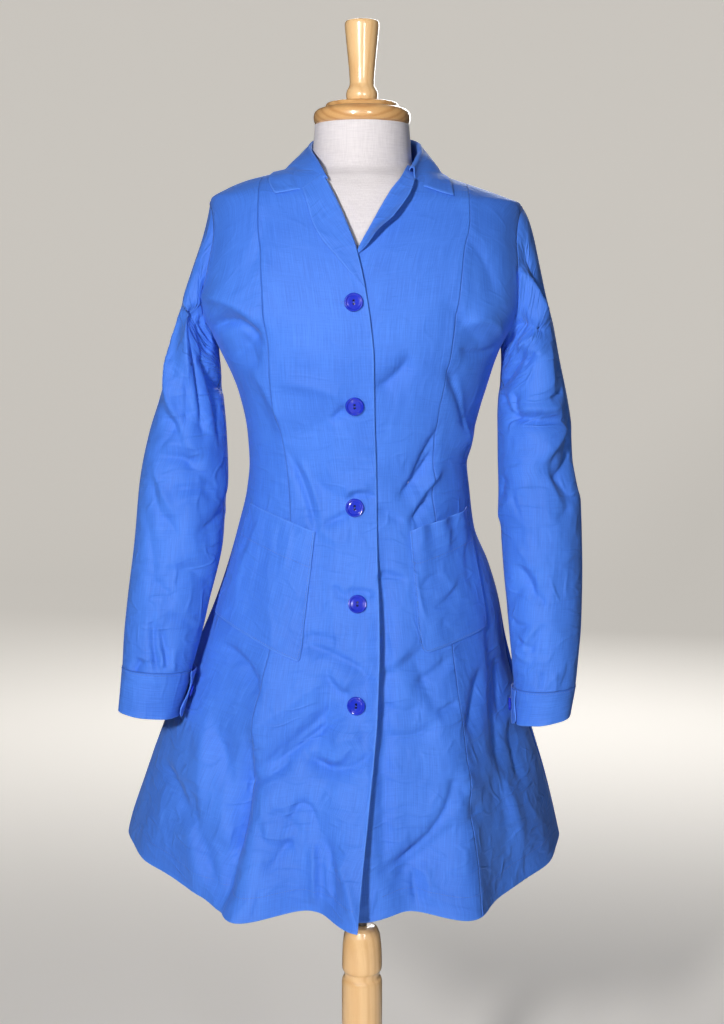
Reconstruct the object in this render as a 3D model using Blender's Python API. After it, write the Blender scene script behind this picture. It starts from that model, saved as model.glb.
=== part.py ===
"""A nurse's uniform dress buttoned on a limbless dress form, built piece by piece.

Tables are in millimetres, with z up from the floor and the front facing -y.
The wearer's right side is at -x.  Every cloth piece is a thin wall on one body surface,
which is read from level sections by a place u round the body and a height z:
u is 0 at centre front, -1 and 1 at the side seams, and 2 at centre back.
"""
import math

import bpy
import numpy as np
from mathutils import Vector
from mathutils.bvhtree import BVHTree

MM = 0.001

CLOTH = 1.4                 # wall of one layer of cloth
SEAM = 0.3                  # gap between two pieces at a seam
LAID = 0.4                  # gap under a piece that lies on another
STAND_OFF = 1.2             # gap under a pocket or lapel, whose faces bridge those below
UNDERARM = 1181.0           # height of the underarm point
WAIST_ROWS = 17             # rows of faces from hem to underarm
CHEST_ROWS = 10             # rows of faces from underarm to shoulder
FRONT_COLUMNS = 9           # columns of faces across a front
SIDE_FRONT_COLUMNS = 6
SIDE_BACK_COLUMNS = 5
SHOULDER_COLUMNS = 4        # columns of faces along the shoulder seam beside the neck
SLEEVE_ROWS = 18            # rows of faces along a sleeve
FULL_TURN = 4               # the change of u once round the body


def table(columns, *rows):
    """Rows of numbers as one array for each named column."""
    return dict(zip(columns.split(), np.array(rows, float).T))


def smooth(x, xs, ys):
    """A smooth curve through the points (xs, ys) that never swings past them."""
    step = np.diff(xs)
    slope = np.diff(ys) / step
    near, far = slope[:-1], slope[1:]
    weight_near = 2 * step[1:] + step[:-1]
    weight_far = step[1:] + 2 * step[:-1]
    flat = near * far <= 0
    safe_near = np.where(flat, 1.0, near)
    safe_far = np.where(flat, 1.0, far)
    mean = (weight_near + weight_far) / (weight_near / safe_near + weight_far / safe_far)
    grade = np.concatenate([slope[:1], np.where(flat, 0.0, mean), slope[-1:]])
    x = np.clip(x, xs[0], xs[-1])
    k = np.clip(np.searchsorted(xs, x, side="right") - 1, 0, len(step) - 1)
    t = (x - xs[k]) / step[k]
    rise = t * t * (3 - 2 * t)
    bend = step[k] * t * (1 - t) * (grade[k] * (1 - t) - grade[k + 1] * t)
    return ys[k] * (1 - rise) + ys[k + 1] * rise + bend


def read(rows, name, key):
    """One named column of a table, read smoothly at values of its first column."""
    first = next(iter(rows))
    return smooth(key, rows[first], rows[name])


def unit(v):
    return v / np.maximum(np.linalg.norm(v, axis=-1, keepdims=True), 1e-9)


def ease(x):
    x = np.clip(x, 0.0, 1.0)
    return x * x * (3 - 2 * x)


# Sections of the worn dress: half widths of its two sides, the side seam's place in y, depths
# before and behind, and how far each quarter stays flat at the centre and square at the side.
BODY = table(
    "z right left side_y front back flat square",
    (540, 298, 255, 44, 192, 196, 0.60, 0.22),
    (577, 293, 247, 40, 188, 190, 0.60, 0.22),
    (650, 270, 229, 32, 174, 176, 0.60, 0.30),
    (732, 239, 204, 22, 157, 158, 0.60, 0.38),
    (830, 197, 175, 12, 136, 137, 0.60, 0.45),
    (880, 176, 165, 7, 124, 126, 0.60, 0.48),
    (923, 161, 152, 3, 115, 116, 0.60, 0.50),
    (968, 148, 134, 0, 107, 104, 0.60, 0.50),
    (1014, 137, 128, 0, 103, 98, 0.60, 0.52),
    (1044, 134, 125, 0, 103, 96, 0.62, 0.55),
    (1080, 136, 133, 0, 107, 97, 0.64, 0.58),
    (1125, 145, 145, 0, 116, 99, 0.68, 0.62),
    (1182, 170, 164, 0, 124, 102, 0.70, 0.66),
    (1205, 184, 178, 2, 124, 103, 0.70, 0.70),
    (1234, 192, 188, 4, 121, 103, 0.68, 0.74),
    (1269, 188, 190, 6, 115, 102, 0.66, 0.76),
    (1305, 181, 188, 8, 105, 99, 0.64, 0.76),
    (1336, 179, 188, 9, 93, 94, 0.62, 0.72),
    (1346, 178, 186, 10, 89, 92, 0.61, 0.69),
    (1352, 177, 172, 10, 86, 91, 0.60, 0.66),
    (1363, 160, 142, 11, 80, 88, 0.58, 0.60),
    (1372, 139, 115, 12, 75, 86, 0.56, 0.56),
    (1379, 112, 95, 13, 71, 84, 0.55, 0.55),
    (1385, 85, 80, 13, 67, 82, 0.55, 0.55),
    (1391, 69, 69, 14, 63, 80, 0.55, 0.55),
    (1397, 59, 59, 14, 60, 78, 0.55, 0.55),
)

# Hem height round the body.
HEM = table(
    "u z",
    (-2.0, 574), (-1.7, 566), (-1.3, 572), (-1.0, 577), (-0.6, 566), (-0.27, 546), (-0.12, 556),
    (0.0, 548), (0.12, 556), (0.27, 547), (0.6, 560), (1.0, 574), (1.3, 571), (1.7, 565), (2.0, 574),
)

# Folds that open towards the hem, like narrow cones standing on it.
FLUTE_SWEEP = 1.7           # how slowly they open from their tops
FLUTES = table(
    "hem_place top_place top spread height",
    (-0.27, -0.34, 930, 0.080, 36),
    (0.27, 0.34, 930, 0.085, 28),
    (-0.12, -0.12, 760, 0.050, -9),
    (0.13, 0.13, 760, 0.050, -7),
    (-0.66, -0.62, 800, 0.100, 8),
    (0.68, 0.62, 820, 0.100, 7),
    (-1.66, -1.60, 930, 0.110, 30),
    (1.66, 1.60, 930, 0.110, 30),
    (-1.27, -1.30, 800, 0.100, 9),
    (1.25, 1.30, 800, 0.100, 9),
    (2.00, 2.00, 820, 0.120, -10),
)

# The largest soft troughs (negative) and ridges (positive), from one end to the other.
CREASE_TAPER = 0.3          # share of a crease over which each end dies out
CREASES = table(
    "face x0 z0 x1 z1 spread height",
    (-1, -24, 787, -131, 696, 13, -6.0),
    (-1, -40, 812, -150, 730, 14, 3.5),
    (-1, 103, 651, 31, 582, 14, -5.0),
    (-1, 120, 690, 60, 615, 14, 3.0),
    (-1, -19, 1010, -81, 1044, 9, -2.0),
    (-1, -19, 1112, -80, 1079, 9, -1.6),
    (-1, 88, 1010, 26, 1044, 9, -2.2),
    (-1, -70, 988, -20, 959, 9, 1.8),
    (-1, 97, 1228, 140, 1180, 9, -3.0),
    (-1, -111, 1205, -148, 1172, 9, -3.0),
    (-1, 59, 834, 88, 765, 12, -3.5),
    (-1, -36, 799, -60, 700, 12, -3.0),
    (1, -60, 1045, 70, 1030, 12, -3.5),
    (1, -90, 1075, 40, 1082, 13, 2.5),
    (1, 30, 780, 125, 690, 15, -5.0),
    (1, -110, 700, -40, 600, 15, -4.5),
    (1, 100, 1220, 150, 1160, 10, -3.0),
    (1, -100, 1220, -150, 1160, 10, -3.0),
)


def section(rows, u, z):
    """A point on a level section; each quarter is a cubic curve from centre to side."""
    u = (u + 2) % FULL_TURN - 2
    side = np.abs(u)
    ahead = side <= 1
    t = np.where(ahead, side, 2 - side)
    s = 1 - t
    half = np.where(u < 0, -read(rows, "right", z), read(rows, "left", z))
    deep = np.where(ahead, -read(rows, "front", z), read(rows, "back", z))
    side_y = read(rows, "side_y", z)
    corner = side_y + read(rows, "square", z) * (deep - side_y)
    x = half * (3 * s * s * t * read(rows, "flat", z) + 3 * s * t * t + t ** 3)
    y = deep * (s ** 3 + 3 * s * s * t) + corner * 3 * s * t * t + side_y * t ** 3
    return np.stack([x, y, z + 0 * x], -1)


def level_out(rows, u, z):
    """The level direction that points away from the body."""
    small = 1e-3
    along = section(rows, u + small, z) - section(rows, u - small, z)
    return unit(np.stack([along[..., 1], -along[..., 0], 0 * along[..., 0]], -1))


def ends_fade(along):
    """1 along a crease, from 0 to 1 of its length, and a smooth fall past both ends."""
    return (ease(along / CREASE_TAPER + CREASE_TAPER)
            * ease((1 - along) / CREASE_TAPER + CREASE_TAPER))


def relief(u, z, place):
    """How far flutes and creases push the cloth out; place is the point before they do."""
    drop = 0 * place[..., 0]
    wrapped = (u + 2) % FULL_TURN - 2
    for hem_place, top_place, top, spread, height in zip(*FLUTES.values()):
        down = np.clip((top - z) / (top - HEM["z"].min()), 0, 1.1)
        centre = top_place + (hem_place - top_place) * down
        off = np.abs(wrapped - centre)
        off = np.minimum(off, FULL_TURN - off)
        drop = drop + height * down ** FLUTE_SWEEP * np.exp(-(off / spread) ** 2)
    for face, x0, z0, x1, z1, spread, height in zip(*CREASES.values()):
        run_x, run_z = x1 - x0, z1 - z0
        length = math.hypot(run_x, run_z)
        from_x, from_z = place[..., 0] - x0, z - z0
        along = (from_x * run_x + from_z * run_z) / length ** 2
        across = (from_x * run_z - from_z * run_x) / length
        taper = ends_fade(along)
        on_face = np.abs(wrapped) <= 1 if face < 0 else np.abs(wrapped) > 1
        drop = drop + on_face * height * taper * np.exp(-(across / spread) ** 2)
    return drop


def body(u, z):
    """The worn dress's outer surface."""
    u, z = np.broadcast_arrays(np.asarray(u, float), np.asarray(z, float))
    place = section(BODY, u, z)
    return place + level_out(BODY, u, z) * relief(u, z, place)[..., None]


def normal_of(surface, u, z):
    """Outward direction of a surface given by u and z."""
    du, dz = 1e-3, 0.5       # small steps along the surface
    along_u = surface(u + du, z) - surface(u - du, z)
    along_z = surface(u, z + dz) - surface(u, z - dz)
    return unit(np.cross(along_u, along_z))


def u_at(x, z, rows=BODY):
    """The front place u where a level section reaches x, found by halving."""
    x, z = np.broadcast_arrays(np.asarray(x, float), np.asarray(z, float))
    low, high = np.zeros(x.shape), np.ones(x.shape)
    sign = np.where(x < 0, -1.0, 1.0)
    for _ in range(40):
        middle = (low + high) / 2
        short = np.abs(section(rows, sign * middle, z)[..., 0]) < np.abs(x)
        low = np.where(short, middle, low)
        high = np.where(short, high, middle)
    return sign * (low + high) / 2


def hem_height(u):
    return smooth((np.asarray(u, float) + 2) % FULL_TURN - 2, HEM["u"], HEM["z"])


# Mesh making

# Looks: red, green and blue, then roughness and metallic.
COTTON = (0.045, 0.19, 0.75, 0.75, 0.0)
PLASTIC = (0.015, 0.03, 0.55, 0.2, 0.0)
LINEN = (0.80, 0.77, 0.74, 0.9, 0.0)
WOOD = (0.72, 0.46, 0.20, 0.3, 0.0)
STEEL = (0.20, 0.20, 0.21, 0.4, 0.9)
SHARP = math.radians(35)     # edges sharper than this stay crisp


def make_object(name, vertices, faces, looks):
    """One closed mesh with its own material; vertices come in millimetres."""
    mesh = bpy.data.meshes.new(name)
    mesh.from_pydata((np.asarray(vertices) * MM).tolist(), [], faces)
    mesh.validate()
    mesh.shade_smooth()
    mesh.set_sharp_from_angle(angle=SHARP)
    thing = bpy.data.objects.new(name, mesh)
    bpy.context.scene.collection.objects.link(thing)
    material = bpy.data.materials.new(name)
    material.use_nodes = True
    shader = material.node_tree.nodes["Principled BSDF"]
    shader.inputs["Base Color"].default_value = (*looks[:3], 1.0)
    shader.inputs["Roughness"].default_value = looks[3]
    shader.inputs["Metallic"].default_value = looks[4]
    mesh.materials.append(material)
    return thing


def drawn_in(points, normals, amount, ring=False):
    """The grid with its edges moved in along the surface, for half a seam gap."""
    points = points.copy()
    for axis in (0, 1):
        if ring and axis == 1:
            continue
        for edge, inside in ((0, 1), (-1, -2)):
            line = np.take(points, edge, axis)
            towards = np.take(points, inside, axis) - line
            run = np.gradient(line, axis=0)
            side = unit(np.cross(run, np.take(normals, edge, axis)))
            side = side * np.sign(np.sum(side * towards, -1, keepdims=True))
            if axis == 0:
                points[edge] = line + side * amount
            else:
                points[:, edge] = line + side * amount
    return points


def wall(points, inner, ring=False):
    """Vertices and faces of a wall between two like grids, closed all round its edges.

    Rows run up and columns run along +u, so that the first grid faces outwards.  Both grids
    are cut into triangles along the same diagonals, so the wall keeps its thickness.
    """
    rows, columns = points.shape[:2]
    vertices = np.concatenate([points.reshape(-1, 3), inner.reshape(-1, 3)])
    shift = rows * columns
    faces = []

    def index(i, j):
        return i * columns + j % columns

    spans = columns if ring else columns - 1
    for i in range(rows - 1):
        for j in range(spans):
            a, b, c, d = index(i, j), index(i, j + 1), index(i + 1, j + 1), index(i + 1, j)
            rising_cut = np.linalg.norm(vertices[a] - vertices[c])
            falling_cut = np.linalg.norm(vertices[b] - vertices[d])
            halves = ((a, b, c), (a, c, d)) if rising_cut < falling_cut else ((a, b, d), (b, c, d))
            for p, q, r in halves:
                faces.append((p, q, r))
                faces.append((r + shift, q + shift, p + shift))
    for j in range(spans):
        a, b = index(0, j), index(0, j + 1)
        faces.append((b, a, a + shift, b + shift))
        a, b = index(rows - 1, j), index(rows - 1, j + 1)
        faces.append((a, b, b + shift, a + shift))
    if not ring:
        for i in range(rows - 1):
            a, b = index(i, 0), index(i + 1, 0)
            faces.append((a, b, b + shift, a + shift))
            a, b = index(i, columns - 1), index(i + 1, columns - 1)
            faces.append((b, a, a + shift, b + shift))
    return vertices, faces


FACED = {}                   # the faces of each cloth piece made so far, for what lies on it


def cloth(name, points, normals, thick=CLOTH, ring=False, draw=SEAM / 2):
    """A cloth piece: its outer grid, drawn in at the seams, and a wall behind it."""
    points = drawn_in(points, normals, draw, ring) if draw else points
    vertices, faces = wall(points, points - normals * thick, ring)
    FACED[name] = BVHTree.FromPolygons([Vector(v) for v in vertices], faces)
    return make_object(name, vertices, faces, COTTON)


NEAR = 30                    # pieces further off than this don't matter to what lies on them


def laid_on(names, points, normals, gap):
    """The points moved out along their normals until they stand clear of the named pieces."""
    points = points.copy()
    for place in np.ndindex(points.shape[:-1]):
        for name in names:
            hit = FACED[name].find_nearest(Vector(points[place]), NEAR)[0]
            if hit is None:
                continue
            away = np.dot(points[place] - np.array(hit), normals[place])
            if away < gap:
                points[place] = points[place] + normals[place] * (gap - away)
    return points


# Seams: each is a line of (u, z) with one point for each row, so neighbours match.

# Front princess seam, from hem to shoulder: x of the right and the left one.
PRINCESS = table(
    "z right left",
    (540, 146, 120), (600, 144, 121), (650, 138, 118), (740, 122, 114), (800, 112, 108),
    (850, 101, 102), (920, 90, 93), (981, 82, 85), (1021, 84, 82), (1066, 89, 83), (1111, 97, 87),
    (1156, 103, 97), (1200, 107, 104), (1240, 110, 109), (1285, 114, 114), (1325, 117, 121),
    (1366, 116, 120), (1380, 111, 111),
)
# Back princess seam, alike on both sides.
BACK_PRINCESS = table(
    "z x",
    (540, 135), (650, 122), (800, 104), (920, 86), (1021, 74), (1110, 84), (1200, 96), (1300, 108),
    (1380, 111),
)
# Where the princess seams meet the shoulder seam; the left shoulder sits a little lower.
SHOULDER_Z = {-1: 1378.5, 1: 1372.0}
TIP_DROP = {-1: 0.0, 1: 5.0}
NECK_Z = 1390.5              # where the shoulder seam meets the neck seam
HEM_GUESS = 0.3              # a place u near the princess seams at the hem, to start from

# Armhole seam from underarm to shoulder tip, alike before and behind.
ARMHOLE = table(
    "share u z",
    (0.00, 1.00, UNDERARM), (0.15, 0.885, 1194), (0.30, 0.805, 1219), (0.50, 0.755, 1266),
    (0.70, 0.765, 1308), (0.86, 0.83, 1337), (1.00, 1.00, 1351.5),
)

# The lapping front's free edge and, above its end, the line where the cloth turns back.
TOP_EDGE = table(
    "z x",
    (540, -5), (600, 0), (680, 8), (780, 17), (860, 19), (950, 17), (1035, 16), (1100, 14),
    (1167, 13), (1211, 9), (1243, 4), (1287, -5), (1324, -19), (1363, -37), (1387, -50),
)
# The under front's edge, hidden below the other, and its own turning line.
UNDER_EDGE = table(
    "z x",
    (540, -24), (700, -18), (790, -15), (900, -17), (1100, -21), (1200, -22), (1250, -17), (1290, -4), (1313, 8),
    (1335, 20), (1357, 33), (1370, 43), (1387, 52),
)
ROLL_TOP = 1386.0            # top of both turning lines
LAP_LIFT = 3.4               # how far the lapping front rides above the under one
LAP_REACH = (-24.0, -50.0)   # where that lift starts to fade and where it is gone
GAPE = 30.0                  # how far the lapping corner stands off at the hem
GAPE_RANGE = (770.0, 548.0)  # heights where that gape starts and where it is full
GAPE_REACH = (-48.0, -4.0)   # places x where it starts and where it is full
GAPE_SWEEP = 1.6


def lap(place, z):
    """How far the lapping front stands off the body surface."""
    start, end = LAP_REACH
    over = 1 - ease((place[..., 0] - start) / (end - start))
    top, bottom = GAPE_RANGE
    down = np.clip((top - z) / (top - bottom), 0, 1.1)
    near, far = GAPE_REACH
    swing = ease((place[..., 0] - near) / (far - near))
    return LAP_LIFT * over + GAPE * down ** GAPE_SWEEP * swing


def right_front(u, z):
    """The wearer's right front, which laps over the left one."""
    u, z = np.broadcast_arrays(np.asarray(u, float), np.asarray(z, float))
    base = body(u, z)
    return base + level_out(BODY, u, z) * lap(base, z)[..., None]


def rising(bottom, top, power, count=CHEST_ROWS):
    """Heights from bottom to top whose steps get shorter near the top."""
    share = np.linspace(0, 1, count + 1)
    return bottom + (top - bottom) * (1 - (1 - share) ** power)


def lower_z(u):
    """Row heights from the hem at u up to the underarm."""
    share = np.linspace(0, 1, WAIST_ROWS + 1)[:-1]
    hem = hem_height(u)
    return hem + (UNDERARM - hem) * share


def princess(side, rows, key, ahead):
    """A princess seam as (u, z) rows up to the shoulder; the table gives its x at each height."""
    low = lower_z(side * HEM_GUESS)
    for _ in range(3):
        place = u_at(side * read(rows, key, low), low)
        low = lower_z(place[0] if ahead else np.sign(place[0]) * (2 - abs(place[0])))
    z = np.concatenate([low, rising(UNDERARM, SHOULDER_Z[side], 1.5)])
    u = u_at(side * read(rows, key, z), z)
    if not ahead:
        u = side * (2 - np.abs(u))
    u[-1] = side
    return np.stack([u, z], -1)


def front_princess(side):
    return princess(side, PRINCESS, "right" if side < 0 else "left", ahead=True)


def back_princess(side):
    return princess(side, BACK_PRINCESS, "x", ahead=False)


def side_seam(side):
    """The side seam up to the underarm and then the armhole's front half."""
    low = lower_z(side)
    share = np.linspace(0, 1, CHEST_ROWS + 1)
    u = side * read(ARMHOLE, "u", share)
    z = read(ARMHOLE, "z", share) - TIP_DROP[side] * ease(share)
    return np.stack([np.concatenate([0 * low + side, u]), np.concatenate([low, z])], -1)


def mirrored_back(line):
    """The same line behind the side seam."""
    back = line.copy()
    back[:, 0] = np.sign(line[:, 0]) * (2 - np.abs(line[:, 0]))
    return back


def edge_u(edge, z):
    """Place u of a front's own edge; x may lie on either side of the centre."""
    return u_at(read(edge, "x", z), z)


def edge_column(edge):
    """A front's free edge from hem to break, then its turning line to the neck."""
    low = lower_z(0.0)
    z = np.concatenate([low, rising(UNDERARM, ROLL_TOP, 1.1)])
    return np.stack([edge_u(edge, z), z], -1)


def between(line_a, line_b, columns):
    """A grid of (u, z) whose columns run evenly from one seam to another."""
    share = np.linspace(0, 1, columns + 1)[None, :, None]
    return line_a[:, None] * (1 - share) + line_b[:, None] * share


def hemmed(grid):
    """The grid with its rows below the underarm laid on the rounded hem line."""
    u, z = grid[..., 0], grid[..., 1].copy()
    share = (np.arange(WAIST_ROWS) / WAIST_ROWS)[:, None]
    hem = hem_height(u[:WAIST_ROWS])
    z[:WAIST_ROWS] = hem + (UNDERARM - hem) * share
    return u, z


def neck_row(grid, roll_u, side):
    """Top row of a front: along the neck seam to the shoulder, then down the shoulder seam."""
    neck = grid.shape[1] - 1 - SHOULDER_COLUMNS
    z_ridge = np.linspace(NECK_Z, SHOULDER_Z[side], SHOULDER_COLUMNS + 1)
    grid[-1, :neck + 1, 0] = np.linspace(roll_u, side, neck + 1)
    grid[-1, :neck + 1, 1] = np.linspace(ROLL_TOP, NECK_Z, neck + 1)
    grid[-1, neck:, 0] = side
    grid[-1, neck:, 1] = z_ridge
    return grid


def ordered(points, normals):
    """Grid turned so that its columns run along +u, which keeps walls facing out."""
    across = points[0, -1] - points[0, 0]
    if np.dot(np.cross(across, points[-1, 0] - points[0, 0]), normals[0, 0]) < 0:
        return points[:, ::-1], normals[:, ::-1]
    return points, normals


def panel(name, surface, grid):
    u, z = hemmed(grid)
    points, normals = ordered(surface(u, z), normal_of(surface, u, z))
    return cloth(name, points, normals)


def build_fronts():
    for name, side, edge, surface in (("front_right", -1, TOP_EDGE, right_front),
                                      ("front_left", 1, UNDER_EDGE, body)):
        inner = edge_column(edge)
        grid = between(inner, front_princess(side), FRONT_COLUMNS)
        grid = neck_row(grid, inner[-1, 0], side)
        panel(name, surface, grid)


def build_sides_and_back():
    for label, side in (("right", -1), ("left", 1)):
        seam = side_seam(side)
        panel("side_front_" + label, body, between(front_princess(side), seam, SIDE_FRONT_COLUMNS))
        behind = between(mirrored_back(seam), back_princess(side), SIDE_BACK_COLUMNS)
        panel("side_back_" + label, body, behind)
    left, right = back_princess(1), back_princess(-1)
    right[:, 0] += FULL_TURN             # the same places, counted on past the centre back
    ridge = SHOULDER_COLUMNS
    grid = between(left, right, 4 * ridge)
    # The top row runs up one shoulder seam, along the neck seam and down the other.
    steps = np.linspace(0, 1, ridge + 1)
    grid[-1, :ridge + 1, 0] = 1
    grid[-1, :ridge + 1, 1] = SHOULDER_Z[1] + (NECK_Z - SHOULDER_Z[1]) * steps
    grid[-1, ridge:-ridge, 0] = np.linspace(1, 3, 2 * ridge + 1)
    grid[-1, ridge:-ridge, 1] = NECK_Z
    grid[-1, -ridge - 1:, 0] = 3
    grid[-1, -ridge - 1:, 1] = NECK_Z + (SHOULDER_Z[-1] - NECK_Z) * steps
    panel("back", body, grid)


# Sleeves: each ring leans from its outer point to its inner one, and the rings fan
# round the underarm.  Distances are from the centre; the depth is half the ring's size in y.
SLEEVE = {
    -1: table(
        "share outer outer_z inner inner_z y depth bow",
        (0.00, 178, 1351, 170, 1182, 6, 54, 8), (0.05, 184, 1311, 169, 1173, 2, 57, 20),
        (0.10, 196, 1270, 168, 1163, 0, 60, 17), (0.16, 209, 1223, 167, 1152, -2, 60, 11),
        (0.23, 223, 1171, 166, 1137, -4, 60, 5), (0.31, 239, 1118, 163, 1115, -8, 58, 2),
        (0.38, 251, 1080, 160, 1080, -13, 56, 0), (0.48, 262, 1024, 158, 1028, -21, 53, 0),
        (0.60, 268, 954, 163, 958, -32, 49, 0), (0.73, 276, 884, 179, 886, -44, 45, 0),
        (0.84, 280, 838, 191, 836, -52, 42, 0), (0.90, 281, 812, 199, 808, -57, 39, 0),
        (1.00, 285, 759, 216, 751, -64, 33, 0),
    ),
    1: table(
        "share outer outer_z inner inner_z y depth bow",
        (0.00, 187, 1348, 164, 1181, 6, 54, 8), (0.05, 203, 1319, 165, 1171, 2, 56, 10),
        (0.10, 210, 1270, 165, 1160, 0, 59, 11), (0.16, 222, 1218, 164, 1146, -2, 60, 8),
        (0.23, 232, 1167, 162, 1129, -6, 60, 4), (0.31, 242, 1118, 160, 1098, -13, 58, 1),
        (0.38, 250, 1065, 160, 1060, -21, 55, 0), (0.48, 257, 1001, 162, 1001, -32, 51, 0),
        (0.60, 258, 932, 165, 936, -45, 46, 0), (0.73, 256, 863, 171, 863, -59, 42, 0),
        (0.84, 252, 822, 175, 816, -68, 39, 0), (0.90, 249, 793, 177, 789, -72, 37, 0),
        (1.00, 243, 756, 178, 746, -78, 32, 0),
    ),
}
CUFF_START = 0.905           # share of the sleeve where the cuff is sewn on
SLEEVE_AROUND = 2 * CHEST_ROWS
SLEEVE_SPACING = 1.15        # above 1 sets the rows closer near the armhole
HEAD = 0.12                  # share of the length over which the armhole's form fades out
FOLDS_FROM = (0.06, 0.14)    # shares of the length where folds start and where they are full

# Folds in the sleeves: from and to a share of the length and an angle round it,
# where 0 is outside, 90 in front, 180 inside and 270 behind.
FOLD_LENGTH = 600.0          # a sleeve's rough length
FOLD_GIRTH = 160.0           # half its rough girth
SLEEVE_FOLDS = {
    -1: table(
        "share0 angle0 share1 angle1 spread height",
        (0.14, 120, 0.26, 185, 10, -5), (0.30, 60, 0.37, 130, 11, -5), (0.41, 80, 0.50, 150, 11, -5),
        (0.52, 190, 0.58, 120, 10, -4), (0.64, 100, 0.70, 170, 10, -4), (0.40, 240, 0.50, 330, 12, -5),
        (0.55, 200, 0.62, 280, 11, 4),
    ),
    1: table(
        "share0 angle0 share1 angle1 spread height",
        (0.12, 120, 0.22, 185, 10, -5), (0.34, 20, 0.40, 90, 11, -5), (0.40, 90, 0.47, 40, 11, -6),
        (0.44, 110, 0.52, 180, 10, 4), (0.62, 110, 0.70, 175, 10, -4), (0.42, 230, 0.50, 320, 12, -5),
        (0.56, 200, 0.63, 290, 11, 4),
    ),
}


def oval(side, share, angle, swell=0.0):
    """A point of the sleeve's ring at a share of its length; angle in radians."""
    rows = SLEEVE[side]
    outer = np.stack([side * read(rows, "outer", share), 0 * share, read(rows, "outer_z", share)], -1)
    inner = np.stack([side * read(rows, "inner", share), 0 * share, read(rows, "inner_z", share)], -1)
    centre = (outer + inner) / 2
    half = (outer - inner) / 2
    reach = half + unit(half) * np.asarray(swell)[..., None]
    depth = read(rows, "depth", share) + swell
    point = centre + reach * np.cos(angle)[..., None]
    point[..., 1] += read(rows, "y", share) - depth * np.sin(angle)
    point[..., 0] += side * read(rows, "bow", share) * np.sin(angle) ** 2
    return point


def sleeve_relief(side, share, angle):
    """Folds of a sleeve, as distances out from its ring."""
    drop = 0 * share
    for share0, angle0, share1, angle1, spread, height in zip(*SLEEVE_FOLDS[side].values()):
        run_s = (share1 - share0) * FOLD_LENGTH
        run_a = (angle1 - angle0) / 180 * FOLD_GIRTH
        size = math.hypot(run_s, run_a)
        turn = (np.degrees(angle) - (angle0 + angle1) / 2 + 180) % 360 - 180
        from_a = (turn + (angle1 - angle0) / 2) / 180 * FOLD_GIRTH
        from_s = (share - share0) * FOLD_LENGTH
        along = (from_s * run_s + from_a * run_a) / size ** 2
        across = (from_s * run_a - from_a * run_s) / size
        taper = ends_fade(along)
        drop = drop + height * taper * np.exp(-(across / spread) ** 2)
    return drop


def armhole_ring(side):
    """The armhole's points and outward directions, from the tip forwards and round."""
    front = side_seam(side)[WAIST_ROWS:][::-1]
    back = mirrored_back(front)[::-1][1:-1]
    line = np.concatenate([front, back])
    return body(line[:, 0], line[:, 1]), normal_of(body, line[:, 0], line[:, 1])


def ring_normals(points):
    """Outward directions of a tube given as rings of points."""
    round_it = np.roll(points, -1, 1) - np.roll(points, 1, 1)
    down = np.gradient(points, axis=0)
    normals = unit(np.cross(round_it, down))
    outward = points - points.mean(1, keepdims=True)
    flip = np.sign(np.sum(normals * outward))
    return normals * flip


def sleeve_points(side):
    """A sleeve's rings from the armhole to the cuff, and their outward directions."""
    share = np.linspace(0, 1, SLEEVE_ROWS + 1) ** SLEEVE_SPACING * CUFF_START
    angle = np.linspace(0, 2 * math.pi, SLEEVE_AROUND, endpoint=False)
    share, angle = np.meshgrid(share, angle, indexing="ij")
    start, full = FOLDS_FROM
    folds = sleeve_relief(side, share, angle) * ease((share - start) / (full - start))
    points = oval(side, share, angle, folds)
    seam, seam_normals = armhole_ring(side)
    blend = ease(share / HEAD)[..., None]
    points = seam[None] * (1 - blend) + points * blend
    normals = ring_normals(points)
    # At the armhole the first ring steps off the body and shares its wall's direction.
    run = np.roll(seam, -1, 0) - np.roll(seam, 1, 0)
    off = unit(np.cross(run, seam_normals))
    off = off * np.sign(np.sum(off * (points[1] - seam)))
    leaves = np.sum((points[1] - seam) * seam_normals, -1, keepdims=True)
    points[0] = seam + off * SEAM / 2 + seam_normals * np.where(leaves > 0, SEAM, 0.0)
    normals[0] = np.where(leaves > 0, normals[0], seam_normals)
    return points, normals


def turned_out(points, normals):
    """A ring grid with its columns in the order that makes its wall face outwards."""
    across = points[0, 1] - points[0, 0]
    if np.dot(np.cross(across, points[1, 0] - points[0, 0]), normals[1, 0]) < 0:
        return points[:, ::-1], normals[:, ::-1]
    return points, normals


CUFF_CLOTH = 1.6             # wall of a cuff, which is of doubled cloth
CUFF_OUT = 0.6               # a cuff's outer face lies this far outside the sleeve's
CUFF_LAP = 0.16              # share of a turn that a cuff laps over itself
CUFF_LIFT = 2.2              # how far the lapping end stands off
LIFT_RANGE = (0.86, 0.99)    # turns from the under end where that lift starts and is full
CUFF_FROM = math.radians(215)            # where the under end lies round the sleeve
CUFF_AROUND = 22             # columns of faces round a cuff
CUFF_ROWS = 3
CUFF_BUTTON_RADIUS = 8.0
CUFF_BUTTON_TURN = 0.93      # how far along the cuff its button sits
CUFF_BUTTON_DOWN = 0.047     # and how far below the cuff's seam, as a share of the sleeve


def build_sleeves():
    for label, side in (("right", -1), ("left", 1)):
        points, normals = sleeve_points(side)
        points[-1] += unit(points[-2] - points[-1]) * SEAM / 2
        points, normals = turned_out(points[::-1], normals[::-1])
        cloth("sleeve_" + label, points, normals, ring=True, draw=0)
        build_cuff(label, side)


def cuff_surface(side, turn, share):
    """The cuff's band: turn runs from its under end to its lapping end, from 0 to 1."""
    turns = turn * (1 + CUFF_LAP)
    start, full = LIFT_RANGE
    lift = CUFF_OUT + CUFF_LIFT * ease((turns - start) / (full - start))
    return oval(side, share, CUFF_FROM - turns * 2 * math.pi, lift)


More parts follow.
